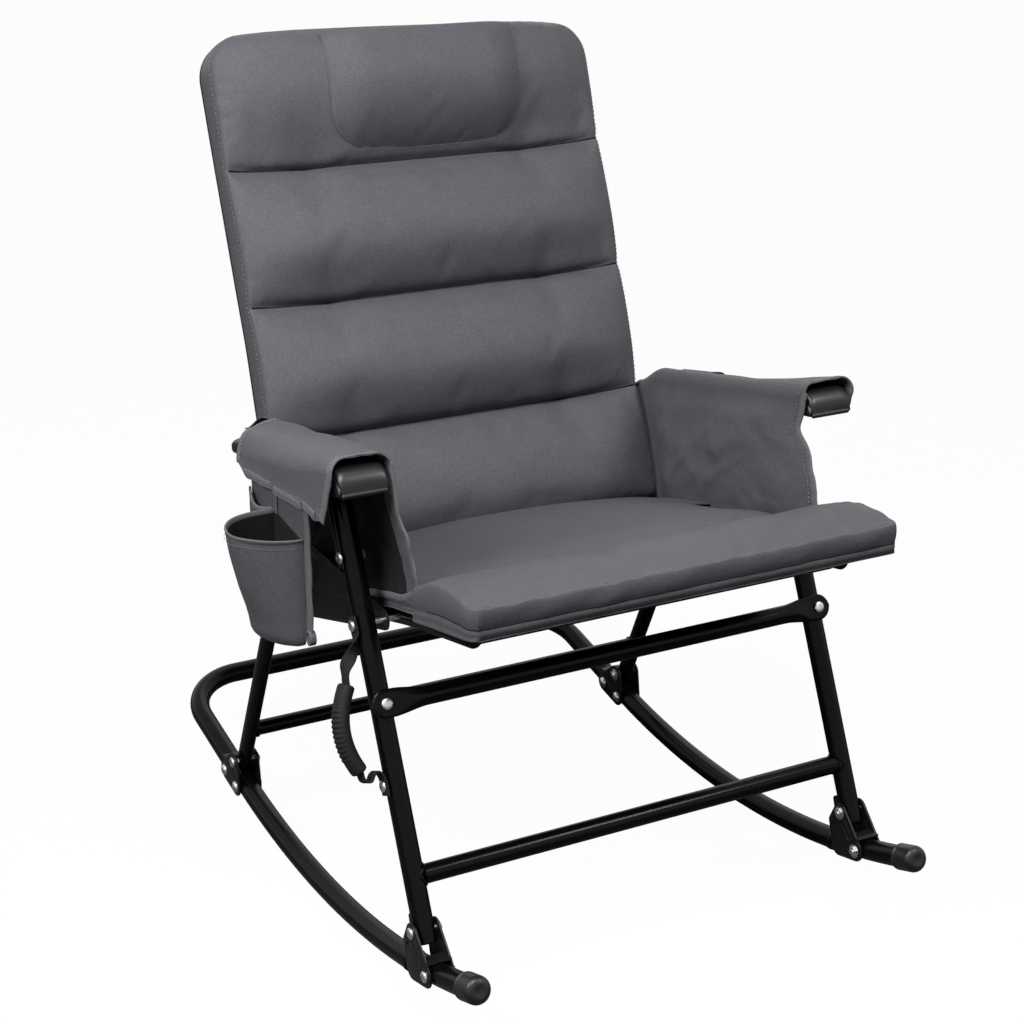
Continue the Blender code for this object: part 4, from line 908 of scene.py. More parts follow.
def make_seat_frame():
    for side, sign in SIDES:
        x = sign * SEAT_RAIL_X
        stations = (SEAT_RAIL_FRONT_Y, 0.20, 0.245, 0.305, 0.36, SEAT_RAIL_REAR_Y)
        bend = [Vector((x, y, seat_rail_z(y))) for y in stations]
        keep(tube(f"seat_tube_{side}", curve_through(bend, 6), SEAT_RAIL_RADIUS), "seat", "tube",
             nodes=(f"seat_rail_{side}",))
        top = BACK_HEIGHT - BACK_TUBE_TOP_DROP
        out = -(BACK_EDGE_THICKNESS + BACK_TUBE_RADIUS + GAP)
        x = sign * BACK_TUBE_X
        upright = line_between(back_point(x, -0.005, out), back_point(x, top, out), 8)
        keep(tube(f"back_upright_{side}", upright, BACK_TUBE_RADIUS), "back", "tube",
             nodes=(f"back_tube_{side}",))
        refined(f"seat_plate_{side}", 0.0006, "seat", "sheet")
        refined(f"back_plate_{side}", 0.0006, "back", "sheet")
    inside = SEAT_RAIL_X - SEAT_RAIL_RADIUS + 0.001
    for node, y in (("seat_front_bar", SEAT_RAIL_FRONT_Y + SEAT_RAIL_RADIUS),
                    ("seat_rear_bar", SEAT_RAIL_REAR_Y - SEAT_RAIL_RADIUS)):
        path = line_between(Vector((-inside, y, seat_rail_z(y))), Vector((inside, y, seat_rail_z(y))), 4)
        keep(tube(f"{node}_tube", path, 0.9 * SEAT_RAIL_RADIUS), "seat", "tube", nodes=(node,))
    inside = BACK_TUBE_X - BACK_TUBE_RADIUS + 0.001
    bar_up = top - 1.2 * BACK_TUBE_RADIUS
    path = line_between(back_point(-inside, bar_up, out), back_point(inside, bar_up, out), 4)
    keep(tube("back_top_tube", path, BACK_TUBE_RADIUS), "back", "tube", nodes=("back_top_bar",))


# Fasteners

def screw_master():
    """Pan head with a cross recess, its underside at the origin and its top along +Z."""
    profile = [(0.0, HEAD_RADIUS), (0.0010, HEAD_RADIUS)]
    for step in range(1, 8):
        turn = 0.5 * math.pi * step / 8
        radius = HEAD_RADIUS * math.cos(turn) ** 0.7
        profile.append((0.0010 + (HEAD_HEIGHT - 0.0010) * math.sin(turn), radius))
    head = turned("screw_head", Vector(), Z_AXIS, profile, 32)
    for number, size in enumerate(((0.0017, 0.0072), (0.0072, 0.0017))):
        lone()
        bpy.ops.mesh.primitive_cube_add(size=1.0, location=(0.0, 0.0, HEAD_HEIGHT))
        slot = named(f"recess_{number}")
        slot.data.transform(Matrix.Diagonal((size[0], size[1], 0.0032, 1.0)))
        bpy.context.view_layer.update()
        modified(head, "BOOLEAN", operation="DIFFERENCE", solver="EXACT", object=slot)
        bpy.data.objects.remove(slot)
    return smoothed(head, 30.0)


def nut_master():
    """Hexagon nut with chamfered corners, a washer and a glimpse of thread."""
    rings = []
    for along, radius, sides in ((0.0, 1.25, 0), (0.0007, 1.25, 0), (0.0007, 0.92, 6), (0.0011, 1.0, 6),
                                 (0.0030, 1.0, 6), (0.0034, 0.90, 6), (0.0034, 0.52, 0), (0.0046, 0.50, 0),
                                 (0.0050, 0.42, 0)):
        ring = []
        for step in range(24):
            turn = 2.0 * math.pi * step / 24
            reach = 1.0
            if sides:
                wedge = (turn + math.pi / 6.0) % (math.pi / 3.0) - math.pi / 6.0
                reach = math.cos(math.pi / 6.0) / math.cos(wedge)
            size = HEAD_RADIUS * radius * reach
            ring.append(Vector((size * math.cos(turn), size * math.sin(turn), along)))
        rings.append(ring)
    return smoothed(pulled("nut", rings), 25.0)


def copied(master, name, base, axis):
    piece = bpy.data.objects.new(name, master.data.copy())
    bpy.context.scene.collection.objects.link(piece)
    turn = axis.to_track_quat("Z", "Y").to_matrix().to_4x4()
    piece.data.transform(Matrix.Translation(base) @ turn)
    return piece


def make_fasteners():
    head = screw_master()
    nut = nut_master()
    nutted = ("front_rail_bolt", "front_foot_bolt", "rear_foot_bolt", "seat_pivot_bolt")
    owners = {"seat_pivot_bolt": "seat", "rear_link_bolt": "seat", "arm_pivot_bolt": "armrests",
              "crossbar_bolt": "front_legs", "handle_lower_bolt": "front_legs"}
    places = [(f"{kind}_{side}", kind, sign) for side, sign in SIDES
              for kind in (*nutted, "rear_link_bolt", "arm_pivot_bolt", "crossbar_bolt")]
    places.append(("handle_lower_bolt", "handle_lower_bolt", -1))
    for node, kind, sign in places:
        low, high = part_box(node)
        low -= PLACE
        high -= PLACE
        middle = 0.5 * (low + high)
        body = owners.get(kind, "rocker")
        if kind == "crossbar_bolt":
            outwards = -BEHIND_LEG
            seat = leg_point(sign * LEG_X, UPPER_BAR_UP, -(LEG_RADIUS + 2.0 * GAP + TONGUE_THICKNESS))
            reach = TONGUE_THICKNESS + 0.6 * LEG_RADIUS
        else:
            outwards = X_AXIS * sign
            seat = Vector(((high.x if sign > 0 else low.x) - sign * HEAD_HEIGHT, middle.y, middle.z))
            reach = (high.x - low.x) - HEAD_HEIGHT - (HEAD_HEIGHT if kind in nutted else 0.0)
        shank = turned(f"{node}_shank", seat + outwards * 0.0005, -outwards,
                       ((0.0, SHANK_RADIUS), (reach, SHANK_RADIUS)), 16)
        keep(shank, body, "zinc", "brass" if kind == "front_rail_bolt" else None, nodes=(node,))
        keep(copied(head, f"{node}_head", seat, outwards), body, "zinc")
        if kind in nutted:
            keep(copied(nut, f"{node}_nut", seat - outwards * reach, -outwards), body, "zinc")
    for side, sign in SIDES:
        for way in (-1.0, 1.0):
            place, stand = ("outer", 0.0022) if way * sign > 0.0 else ("inner", -0.0004)
            seat = leg_point(sign * LEG_X + way * (LEG_RADIUS + stand), LEG_SCREW_UP)
            keep(copied(head, f"leg_screw_{place}_{side}", seat, X_AXIS * way), "front_legs", "zinc")
    bpy.data.objects.remove(head)
    bpy.data.objects.remove(nut)


# Seat pad

def seat_half_width(y):
    narrow = smooth_step(SEAT_WING_END_Y - 0.015, SEAT_WING_END_Y + 0.015, y)
    width = SEAT_FRONT_HALF_WIDTH + (SEAT_HALF_WIDTH - SEAT_FRONT_HALF_WIDTH) * narrow
    across, along = SEAT_NOSE_CORNER
    nose = min((y - SEAT_FRONT_Y) / along, 1.0)
    return width - across * (1.0 - math.sqrt(max(1.0 - (1.0 - nose) ** 2, 0.0)))


def seat_pad_bottom(y):
    slope = math.atan2(SEAT_PIVOT.z - SEAT_RAIL_REAR_Z, SEAT_RAIL_REAR_Y - SEAT_PIVOT.y)
    return seat_rail_z(y) + SEAT_RAIL_RADIUS / math.cos(slope) + CURVED_GAP


def seat_pad_top(y, across):
    along = (y - SEAT_FRONT_Y) / BOLSTER_DEPTH
    bolster = math.sin(math.pi * min(max(along, 0.0), 1.0))
    swell = SEAT_SWELL * (1.0 - across * across) * smooth_step(0.23, 0.50, y)
    at_bolster, behind = SEAT_DRAWN_IN
    drawn = (at_bolster + (behind - at_bolster) * smooth_step(0.9, 1.3, along)) * abs(across) ** 12
    rise = SEAT_PAD_THICKNESS + BOLSTER_RISE * bolster + swell - seat_tail(y) - drawn
    return seat_pad_bottom(y) + rise


def seat_tail(y):
    """How far the pad thins towards the hinge; the crease cloth spans it."""
    return 0.45 * SEAT_PAD_THICKNESS * smooth_step(SEAT_BACK_Y - 0.11, SEAT_BACK_Y, y)


SEAT_SEAM = 0.64
SEAT_COLUMNS = 84
SEAT_ROWS = [SEAT_FRONT_Y + 0.001 + 0.025 * (step / 10) ** 1.6 for step in range(10)]
SEAT_ROWS += [SEAT_FRONT_Y + 0.026 + (0.245 - SEAT_FRONT_Y - 0.026) * step / 30 for step in range(30)]
SEAT_ROWS += [0.245 + (SEAT_BACK_Y - 0.245) * step / 36 for step in range(37)]


def seat_shape(u, v, w):
    y = row_at(SEAT_ROWS, v)
    across = 0.7 * u + 0.3 * math.sin(0.5 * math.pi * u)
    half = seat_half_width(y)
    x = half * across
    edge = half * (1.0 - abs(across))
    top = seat_pad_top(y, across)
    crease = bell(y - SEAT_CREASE_Y - 0.006 * crinkle(x, 0.0, 1.0, 0.12), 0.013)
    top -= SEAT_CREASE_DEPTH * crease * (1.0 - 0.3 * abs(across) ** 6)
    top += 0.0012 * crinkle(x, y, 0.0, 0.075) * smooth_step(0.0, 0.03, edge)
    pull = math.sin(2.0 * math.pi * y / 0.026 + 4.0 * crinkle(y, x, 2.0, 0.05))
    top += 0.0008 * math.exp(-edge / 0.030) * pull
    front = y - SEAT_FRONT_Y
    pull = math.sin(2.0 * math.pi * x / 0.041 + 6.0 * crinkle(x, 3.0, y, 0.09))
    top += 0.0005 * math.exp(-front / 0.018) * pull
    top += 0.0014 * bell(front, 0.004) + 0.0024 * bell(front, 0.020) * bell(edge, 0.016)
    bottom = seat_pad_bottom(y)
    stand = seat_wall(w)
    if abs(u) > 0.9999:
        x += math.copysign(stand, u)
    if v < -0.9999:
        y -= stand + 0.0018 * crinkle(x + 0.03 * w, 0.03 * w, 8.0, 0.035) * math.sin(math.pi * w)
    z = top + (bottom - top) * w
    return Vector((x, y, z)), (x + 0.05 * w, y + 0.05 * w)


def seat_held(u, v, w):
    """Sewn edges and the underside hold; the crease behind the roll is caught down."""
    if w > 0.0:
        return 1.0
    y = row_at(SEAT_ROWS, v)
    if abs(u) > 0.99 or v < -0.99 or v > 0.99:
        return 1.0
    return 0.90 * bell(y - SEAT_CREASE_Y, 0.006)


def seat_wall(w):
    """How far the pad's wall stands out: a full band over a seam, and a narrow band drawn in below it."""
    if w < SEAT_SEAM:
        return 0.0024 * math.sin(math.pi * w / SEAT_SEAM) ** 0.7
    below = (w - SEAT_SEAM) / (1.0 - SEAT_SEAM)
    return 0.0018 * math.sin(math.pi * below) - 0.0022 * smooth_step(0.7, 1.0, w)


# Back pad and headrest

def back_half_width(up):
    top = max(up - (BACK_HEIGHT - BACK_CORNER), 0.0) / BACK_CORNER
    return BACK_HALF_WIDTH - BACK_CORNER * (1.0 - math.sqrt(max(1.0 - top * top, 0.0)))


def back_front(up, across):
    """How far the front stands out: sagging channels between pinched and tufted seams."""
    edges = (-0.030, *BACK_SEAMS_UP, BACK_HEIGHT)
    low, high = next(pair for pair in zip(edges, edges[1:]) if up <= pair[1] + 1e-9)
    reach = TOP_CHANNEL_SHARE if high == BACK_HEIGHT else 1.0
    share = min(max((up - low) / (high - low), 0.0), 1.0)
    if reach * share < CHANNEL_PEAK:
        channel = 1.0 - (1.0 - reach * share / CHANNEL_PEAK) ** 1.7
    else:
        channel = math.cos(0.5 * math.pi * (reach * share - CHANNEL_PEAK) / (1.0 - CHANNEL_PEAK)) ** 0.72
    seam = min(abs(up - level) for level in BACK_SEAMS_UP)
    edge = abs(across) ** 10
    channel += (0.62 - channel) * 0.75 * edge
    middle = 1.0 - 0.45 * across ** 4
    top = min(max(up - (BACK_HEIGHT - TOP_EDGE_ROUND), 0.0) / TOP_EDGE_ROUND, 1.0)
    foot = 1.0 - min(up / BACK_FOOT_ROUND, 1.0)
    turned_in = TOP_EDGE_ROUND * (1.0 - math.sqrt(1.0 - top * top))
    turned_in += BACK_FOOT_ROUND * (1.0 - math.sqrt(1.0 - foot * foot))
    drawn = BACK_DRAWN_IN * abs(across) ** 14
    beside = (abs(across) - TUFT_SHARE) * BACK_HALF_WIDTH
    groove = GROOVE_DEPTH * bell(seam, 0.0060) * (1.0 - 0.80 * edge)
    tuft = TUFT_DEPTH * bell(beside, 0.018) * bell(seam, 0.024)
    valley = VALLEY_DEPTH * bell(beside, 0.030) * math.exp(-seam / 0.060)
    rise = (BACK_CROWN + BACK_SWELL) * channel - BACK_SEAM_SAG * (1.0 - channel)
    return rise * middle - drawn - turned_in - groove - tuft - valley


def back_ups():
    ups = [0.0, 0.0012, 0.0035, 0.007]
    edges = (0.0, *BACK_SEAMS_UP, BACK_HEIGHT - BACK_CORNER)
    for low, high in zip(edges, edges[1:]):
        steps = 24
        for step in range(1, steps + 1):
            share = step / steps
            packed = 0.5 - 0.5 * math.cos(math.pi * share)
            up = low + (high - low) * (0.45 * share + 0.55 * packed)
            if up > 0.011:
                ups.append(up)
    for step in range(1, 15):
        ups.append(BACK_HEIGHT - BACK_CORNER + (BACK_CORNER - 0.0006) * math.sin(0.5 * math.pi * step / 14))
    return ups


BACK_COLUMNS = 76
BACK_ROWS = back_ups()


def back_shape(u, v, w):
    up = row_at(BACK_ROWS, v)
    across = 0.72 * u + 0.28 * math.sin(0.5 * math.pi * u)
    half = back_half_width(up)
    x = half * across
    edge = half * (1.0 - abs(across))
    front = back_front(up, across)
    front += 0.0018 * crinkle(x, up, 0.0, 0.080) * smooth_step(0.0, 0.03, edge)
    pull = math.sin(2.0 * math.pi * up / 0.0195 + 4.0 * crinkle(up, x, 5.0, 0.06))
    front += 0.0009 * math.exp(-edge / 0.020) * pull * smooth_step(-0.2, 0.5, crinkle(up, 1.0, u, 0.09))
    rear = -BACK_EDGE_THICKNESS + 0.0006 * crinkle(x, up, 9.0, 0.10)
    rear += 0.006 * (1.0 - smooth_step(0.0, 0.45, up))
    x += math.copysign(0.0035 * (1.0 - w) * smooth_step(0.85, 1.0, abs(across)), across)
    bulge = math.sin(math.pi * w)
    if abs(u) > 0.9999:
        x += math.copysign(0.0030 * bulge, u)
    if v > 0.9999:
        up += 0.0025 * bulge
    up -= BACK_TOP_SKEW * across * smooth_step(0.75, 1.0, up / BACK_HEIGHT)
    sag = 0.0085 * sum(bell(up - level - 0.010, 0.012) for level in BACK_SEAMS_UP) * (1.0 - across ** 6)
    out = front + (rear - front) * w
    x += BACK_ASIDE * smooth_step(0.16, 0.30, up)
    return back_point(x, up - sag * (1.0 - w), out), (x + 0.05 * w, up + 0.05 * w)


def back_held(u, v, w):
    """Sewn channel seams, tufts and the edge seams hold."""
    if w > 0.0 or abs(u) > 0.99 or abs(v) > 0.99:
        return 1.0
    up = row_at(BACK_ROWS, v)
    seam = min(abs(up - level) for level in BACK_SEAMS_UP)
    across = 0.72 * u + 0.28 * math.sin(0.5 * math.pi * u)
    beside = (abs(across) - TUFT_SHARE) * BACK_HALF_WIDTH
    return 1.0 if seam < 0.0015 else bell(beside, 0.012) * bell(seam, 0.016)


def headrest_held(u, v, w):
    return 1.0 if w > 0.0 or abs(u) > 0.97 or abs(v) > 0.97 else 0.0


def headrest_outline(v):
    """Height and half width of the headrest at a share of its height from -1 to 1."""
    low = HEADREST_BOTTOM_UP - 0.006
    high = BACK_HEIGHT - 0.008
    rise = 0.5 * (v + 1.0)
    packed = rise ** 1.5
    up = low + (high - low) * packed
    corner = max(1.0 - (up - low) / HEADREST_CORNER, 0.0)
    half = HEADREST_HALF_WIDTH - HEADREST_CORNER * (1.0 - math.sqrt(max(1.0 - corner * corner, 0.0)))
    return up, half, packed


def headrest_shape(u, v, w):
    up, half, rise = headrest_outline(v)
    bent = 0.75 * u + 0.25 * math.sin(0.5 * math.pi * u)
    x = half * bent + HEADREST_ASIDE
    base = back_front(up, x / BACK_HALF_WIDTH)
    edge = min(half * (1.0 - abs(bent)), max(up - HEADREST_BOTTOM_UP + 0.006, 0.0))
    rolled = math.sin(0.5 * math.pi * min(max(edge, 0.0) / 0.055, 1.0)) ** 0.8
    swell = HEADREST_THICKNESS * (0.35 + 0.65 * math.sin(math.pi * min(0.16 + 0.60 * rise, 1.0))) * rolled
    swell += 0.0010 * crinkle(x, up, 4.0, 0.06) * rolled
    out = base + LOOSE_GAP * 0.5 + (0.0022 + swell) * (1.0 - w)
    return back_point(x, up, out), (x, up)


# Arm covers and panels

def outer_hem(along, sign=-1):
    """The outer wall hangs lower on the pocket side."""
    for (start, low), (end, high) in zip(COVER_HEM_OUTER, COVER_HEM_OUTER[1:]):
        if along <= end:
            break
    hem = low + (high - low) * min(max((along - start) / (end - start), 0.0), 1.0)
    return max(hem, COVER_HEM_SHORT) if sign > 0 else hem


def cover_section(along, share, sign):
    """Place and outward normal on the cover's section, from the inner hem over the roof to the outer hem."""
    half = ARM_HALF_WIDTH + COVER_LIFT
    roof = ARM_TOP + COVER_LIFT
    bend = ARM_BEND + COVER_LIFT
    inner = roof - bend - COVER_HEM_INNER
    outer = roof - bend - outer_hem(along, sign)
    arc = 0.5 * math.pi * bend
    flat = 2.0 * (half - bend)
    far = share * (inner + arc + flat + arc + outer)
    if far < inner:
        return (-half, COVER_HEM_INNER + far), (-1.0, 0.0)
    far -= inner
    if far < arc:
        turn = far / bend
        normal = (-math.cos(turn), math.sin(turn))
        return (-half + bend + bend * normal[0], roof - bend + bend * normal[1]), normal
    far -= arc
    if far < flat:
        return (-half + bend + far, roof), (0.0, 1.0)
    far -= flat
    if far < arc:
        turn = far / bend
        normal = (math.sin(turn), math.cos(turn))
        return (half - bend + bend * normal[0], roof - bend + bend * normal[1]), normal
    far -= arc
    return (half, roof - bend - far), (1.0, 0.0)


def cover_size(along, sign):
    """Lengths of the section's inner wall and bend, and of all of it."""
    roof = ARM_TOP + COVER_LIFT
    bend = ARM_BEND + COVER_LIFT
    inner = roof - bend - COVER_HEM_INNER
    arc = 0.5 * math.pi * bend
    flat = 2.0 * (ARM_HALF_WIDTH + COVER_LIFT - bend)
    return inner, arc, inner + 2.0 * arc + flat + roof - bend - outer_hem(along, sign)


def roof_tilt(sign, along, across):
    """The roof of the arm and its cover falls outwards towards the rear; the left one sits lower."""
    lift, tilt = ROOF_TILT[sign]
    return (lift - tilt * across / ARM_HALF_WIDTH) * smooth_step(-0.095, 0.040, along)


def cover_surface(sign, along, far):
    """The cover's loose outer face at a distance round its section."""
    total = cover_size(along, sign)[2]
    (across, above), (out, up) = cover_section(along, far / total, sign)
    from_front = along + COVER_FRONT
    from_hem = total - far
    lift = 0.0006 + 0.0014 * max(crinkle(across + sign, along, above, 0.060), -0.3)
    lift += 0.0030 * math.exp(-max(from_front, 0.0) / 0.022) * (0.35 + 0.65 * up)
    if out > 0.0:
        sway = 0.5 + 0.5 * crinkle(along, sign, 6.0, 0.045)
        lift += 0.0060 * out * sway * math.exp(-from_hem / 0.028)
    lift += 0.0007 * max(bell(from_front - 0.004, 0.006), bell(COVER_REAR - along - 0.004, 0.006),
                         bell(from_hem - 0.004, 0.006))
    scallop = 0.0008 * math.sin(2.0 * math.pi * far / 0.021 + 3.0 * crinkle(far, along, sign, 0.03))
    drop = 0.0009 * math.sin(2.0 * math.pi * along / 0.043) * math.exp(-from_hem / 0.006)
    share = abs(across) / (ARM_HALF_WIDTH + COVER_LIFT)
    full = 1.0 - share ** (2.0 + 4.0 * smooth_step(0.06, 0.16, along))
    dome = ROOF_DOME[sign] * full * smooth_step(-0.115, -0.060, along)
    dome += roof_tilt(sign, along, across)
    along -= scallop * math.exp(-max(from_front, 0.0) / 0.006)
    wall = max(ARM_TOP - ARM_BEND - above, 0.0) / 0.055 if out > 0.0 else 0.0
    along += COVER_SLANT * wall * (1.0 - smooth_step(0.0, 0.12, from_front))
    return arm_point(sign * (ARM_X + across + out * lift), along, above + up * lift - drop + dome)


def make_arm_cover(side, sign):
    def shape(u, v):
        rear = COVER_REAR - (COVER_CORNER * smooth_step(-0.55, 0.10, u) if sign < 0 else 0.0)
        along = -COVER_FRONT + (COVER_FRONT + rear) * 0.5 * (v + 1.0)
        inner, arc, total = cover_size(along, sign)
        far = inner + arc + (total - inner - arc) * 0.5 * (u + 1.0)
        return cover_surface(sign, along, far), (far, along)

    piece = cloth(f"cover_{side}", 56, 92, 0.0018, shape)
    keep(piece, "armrests", "fabric", nodes=(f"arm_cover_{side}",))
    for place, v, wide in (("front", -0.968, 0.0052), ("rear", 0.976, 0.0036)):
        edge = [(-1.0 + step / 30, v) for step in range(61)]
        path = [shape(u, v)[0] + raised(shape, u, v, sign, 0.0004) for u, v in edge]
        binding(f"cover_binding_{place}_{side}", path, wide, 0.0013, ALONG_ARM)
    rows = [[(-0.98 + 1.90 * step / 60, v) for step in range(61)] for v in (-0.922, 0.922)]
    rows.append([(0.86, -0.94 + 1.88 * step / 60) for step in range(61)])
    for number, row in enumerate(rows):
        path = [shape(u, v)[0] + raised(shape, u, v, sign) for u, v in row]
        stitches(f"cover_stitches_{number}_{side}", path, "armrests")


def raised(shape, u, v, sign, height=0.0017):
    """A small step off a sheet, to its outer side."""
    here = shape(u, v)[0]
    across = shape(min(u + 0.02, 1.0), v)[0] - here
    along = shape(u, min(v + 0.02, 1.0))[0] - here
    return across.cross(along).normalized() * (sign * height)


PANEL_ROWS = 56
PANEL_BEND_ROWS = 8


def panel_shape(sign, u, v):
    """The cover's cloth goes on over the inner edge of the roof and hangs down to the seat."""
    share = 0.5 * (u + 1.0)
    row = round(0.5 * (1.0 - v) * PANEL_ROWS)
    drop = max(row - PANEL_BEND_ROWS, 0) / (PANEL_ROWS - PANEL_BEND_ROWS)
    rear_top, rear_low = PANEL_REAR_Y
    top_y = PANEL_FRONT_Y + (rear_top - PANEL_FRONT_Y) * share
    low_y = PANEL_LOW_Y[sign] + (rear_low - PANEL_LOW_Y[sign]) * share
    along = (top_y - ARM_PIVOT.y) / math.cos(ARM_SLOPE)
    inner, arc, _ = cover_size(along, sign)
    bend = min(row / PANEL_BEND_ROWS, 1.0)
    top = cover_surface(sign, along, inner + arc * (1.0 - bend))
    top.z -= 0.020 * smooth_step(0.84, 1.0, share)
    if not drop:
        return top, (top.y, -arc * (1.0 - bend))
    pad_y = min(low_y, SEAT_BACK_Y)
    across = min(PANEL_BOTTOM_X / seat_half_width(pad_y), 1.0)
    bottom = seat_pad_top(pad_y, across) + seat_tail(pad_y) - 0.006
    swing = smooth_step(0.12, 1.0, drop)
    low_x = PANEL_BOTTOM_X + 0.0090 * smooth_step(0.80, 0.93, share)
    x = abs(top.x) + (low_x - abs(top.x)) * swing
    loose = math.sin(math.pi * drop ** 0.85) * smooth_step(0.0, 0.2, drop)
    loose *= smooth_step(-0.04, 0.26, share) * (1.0 - 0.9 * smooth_step(0.78, 0.95, share))
    fold = 0.5 + 0.5 * math.sin(2.6 * math.pi * (share - 0.75 * drop) + 2.0 * crinkle(share, drop, sign, 0.6))
    slack = crinkle(share * 1.6, drop, sign + 4.0, 0.22)
    slant = 7.5 * math.pi * (share - 0.62 * drop) + 2.4 * crinkle(share, drop, sign + 9.0, 0.5)
    crease = max(math.sin(slant), 0.0) ** 3
    x -= loose * (0.0095 + 0.0070 * fold + 0.0045 * slack + 0.0042 * crease * smooth_step(0.25, 0.6, share))
    x -= 0.0012 * crinkle(share * 9.0, drop * 5.0, sign, 0.5) * smooth_step(0.1, 0.4, drop)
    ruck = math.sin(2.0 * math.pi * share * 9.0 + 5.0 * crinkle(share, 2.0, sign, 0.12))
    x += 0.0013 * ruck * bell(drop - 1.0, 0.10) * smooth_step(-0.3, 0.4, crinkle(share, 5.0, sign, 0.2))
    notch = PANEL_NOTCH[sign] * bell(drop - 0.30, 0.20) * math.exp(-share / 0.10)
    y = top.y + (low_y - top.y) * drop + notch
    y += 0.0022 * math.sin(21.0 * drop + sign) * math.exp(-share / 0.04) * math.sin(math.pi * drop)
    return Vector((sign * x, y, top.z + (bottom - top.z) * drop)), (y, 0.20 * drop)


def make_side_panel(side, sign):
    def shape(u, v):
        return panel_shape(sign, u, v)

    columns = 80
    piece = cloth(f"panel_{side}", columns, PANEL_ROWS, 0.0016, shape)
    keep(piece, "armrests", "fabric", nodes=(f"side_panel_{side}",))
    # Outward faces behind the front strip are black: lining, and painted shade under the arm.
    piece.data.materials.append(COATS["lining_and_shade"])
    sheet_faces = columns * PANEL_ROWS
    for face in piece.data.polygons:
        painted_shade_columns = face.index % sheet_faces % columns > 0.07 * columns
        if face.index < 2 * sheet_faces and painted_shade_columns and face.normal.x * sign > 0.15:
            face.material_index = 1
    levels = [1.0 - 2.0 * row / PANEL_ROWS for row in range(PANEL_BEND_ROWS - 2, PANEL_ROWS + 1)]
    edge = [shape(-1.0, v)[0] for v in levels]
    trim = binding(f"panel_binding_{side}", edge, 0.0046, 0.0014, Y_AXIS)
    aside = Vector((0.0008 * sign, 0.0, 0.003))
    foot = [shape(-1.0 + 0.7 * step / 20, -1.0)[0] + aside for step in range(21)]
    low = binding(f"panel_foot_{side}", foot, 0.0042, 0.0013, Z_AXIS)
    row = [point + Vector((-0.0013 * sign, 0.0100, 0.0)) for point in edge]
    seam = stitches(f"panel_stitches_{side}", row, "armrests")
    for soft in (piece, trim, low, seam):
        anchor = arm_point(sign * ARM_X, 0.0, ARM_TOP) + PLACE
        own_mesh(soft)


def lift_tail(piece, sign):
    """The arm's walls run out upwards at the rear, inside its rounded end."""
    for vertex in piece.data.vertices:
        spot = vertex.co - PLACE - ARM_PIVOT
        along = spot.dot(ALONG_ARM)
        above = spot.dot(ABOVE_ARM)
        across = abs(spot.x) - ARM_X
        low = ARM_BOTTOM + 0.024 * smooth_step(0.10, 0.205, along)
        low += (ARM_NOSE_BOTTOM - ARM_BOTTOM) * (1.0 - smooth_step(-0.080, -0.050, along))
        rise = max(low - above, 0.0)
        shorter = 0.85 * max(along - 0.172, 0.0)
        vertex.co += ABOVE_ARM * (rise + roof_tilt(sign, along, across)) - ALONG_ARM * shorter


def arm_end(name, sign, run, top, low, powers, aside=0.0, tilted=False):
    """A rounded end of the armrest: run, top and low hold a start and how much it changes to the tip."""
    rings = []
    for step in range(13):
        turn = 0.5 * math.pi * step / 12
        shut = 1.0 - math.cos(turn)
        along = run[0] + run[1] * math.sin(turn)
        high, deep = top[0] + top[1] * shut, low[0] + low[1] * shut
        half = ARM_HALF_WIDTH + 0.0005 - 0.004 * shut
        tilt = roof_tilt(sign, along, 0.0) if tilted else 0.0
        ring = []
        for a, b in oval(1.0, 1.0, 40):
            wide = aside + half * blunt(a, powers[0])
            tall = 0.5 * (high + deep) + 0.5 * (high - deep) * blunt(b, powers[1])
            ring.append(arm_point(sign * (ARM_X + wide), along, tall + tilt))
        rings.append(ring)
    keep(pulled(name, rings), "armrests", "plastic")


def make_arm_ends(side, sign):
    """The nose rolls over to a thick lower lip, and the tail sticks out behind the cover."""
    arm_end(f"arm_nose_{side}", sign, (-0.083, -0.0255), (ARM_TOP + 0.0004, -0.024),
            (ARM_NOSE_BOTTOM - 0.0006, 0.0), (0.32, 0.42))
    low = ARM_NOSE_BOTTOM + 0.001
    lip = [arm_point(sign * (ARM_X + across), -0.1065, low) for across in (-0.0275, 0.0275)]
    keep(tube(f"arm_lip_{side}", line_between(*lip, 6), 0.0034, sides=16), "armrests", "plastic")
    arm_end(f"arm_tail_{side}", sign, (0.165, 0.046), (ARM_TOP + 0.0060, -0.009),
            (ARM_BOTTOM + 0.0215, 0.001), (0.40, 0.60), 0.0020, True)


# Pockets

def hem_height(y):
    along = (y - ARM_PIVOT.y) / math.cos(ARM_SLOPE)
    return arm_point(0.0, along, outer_hem(along)).z


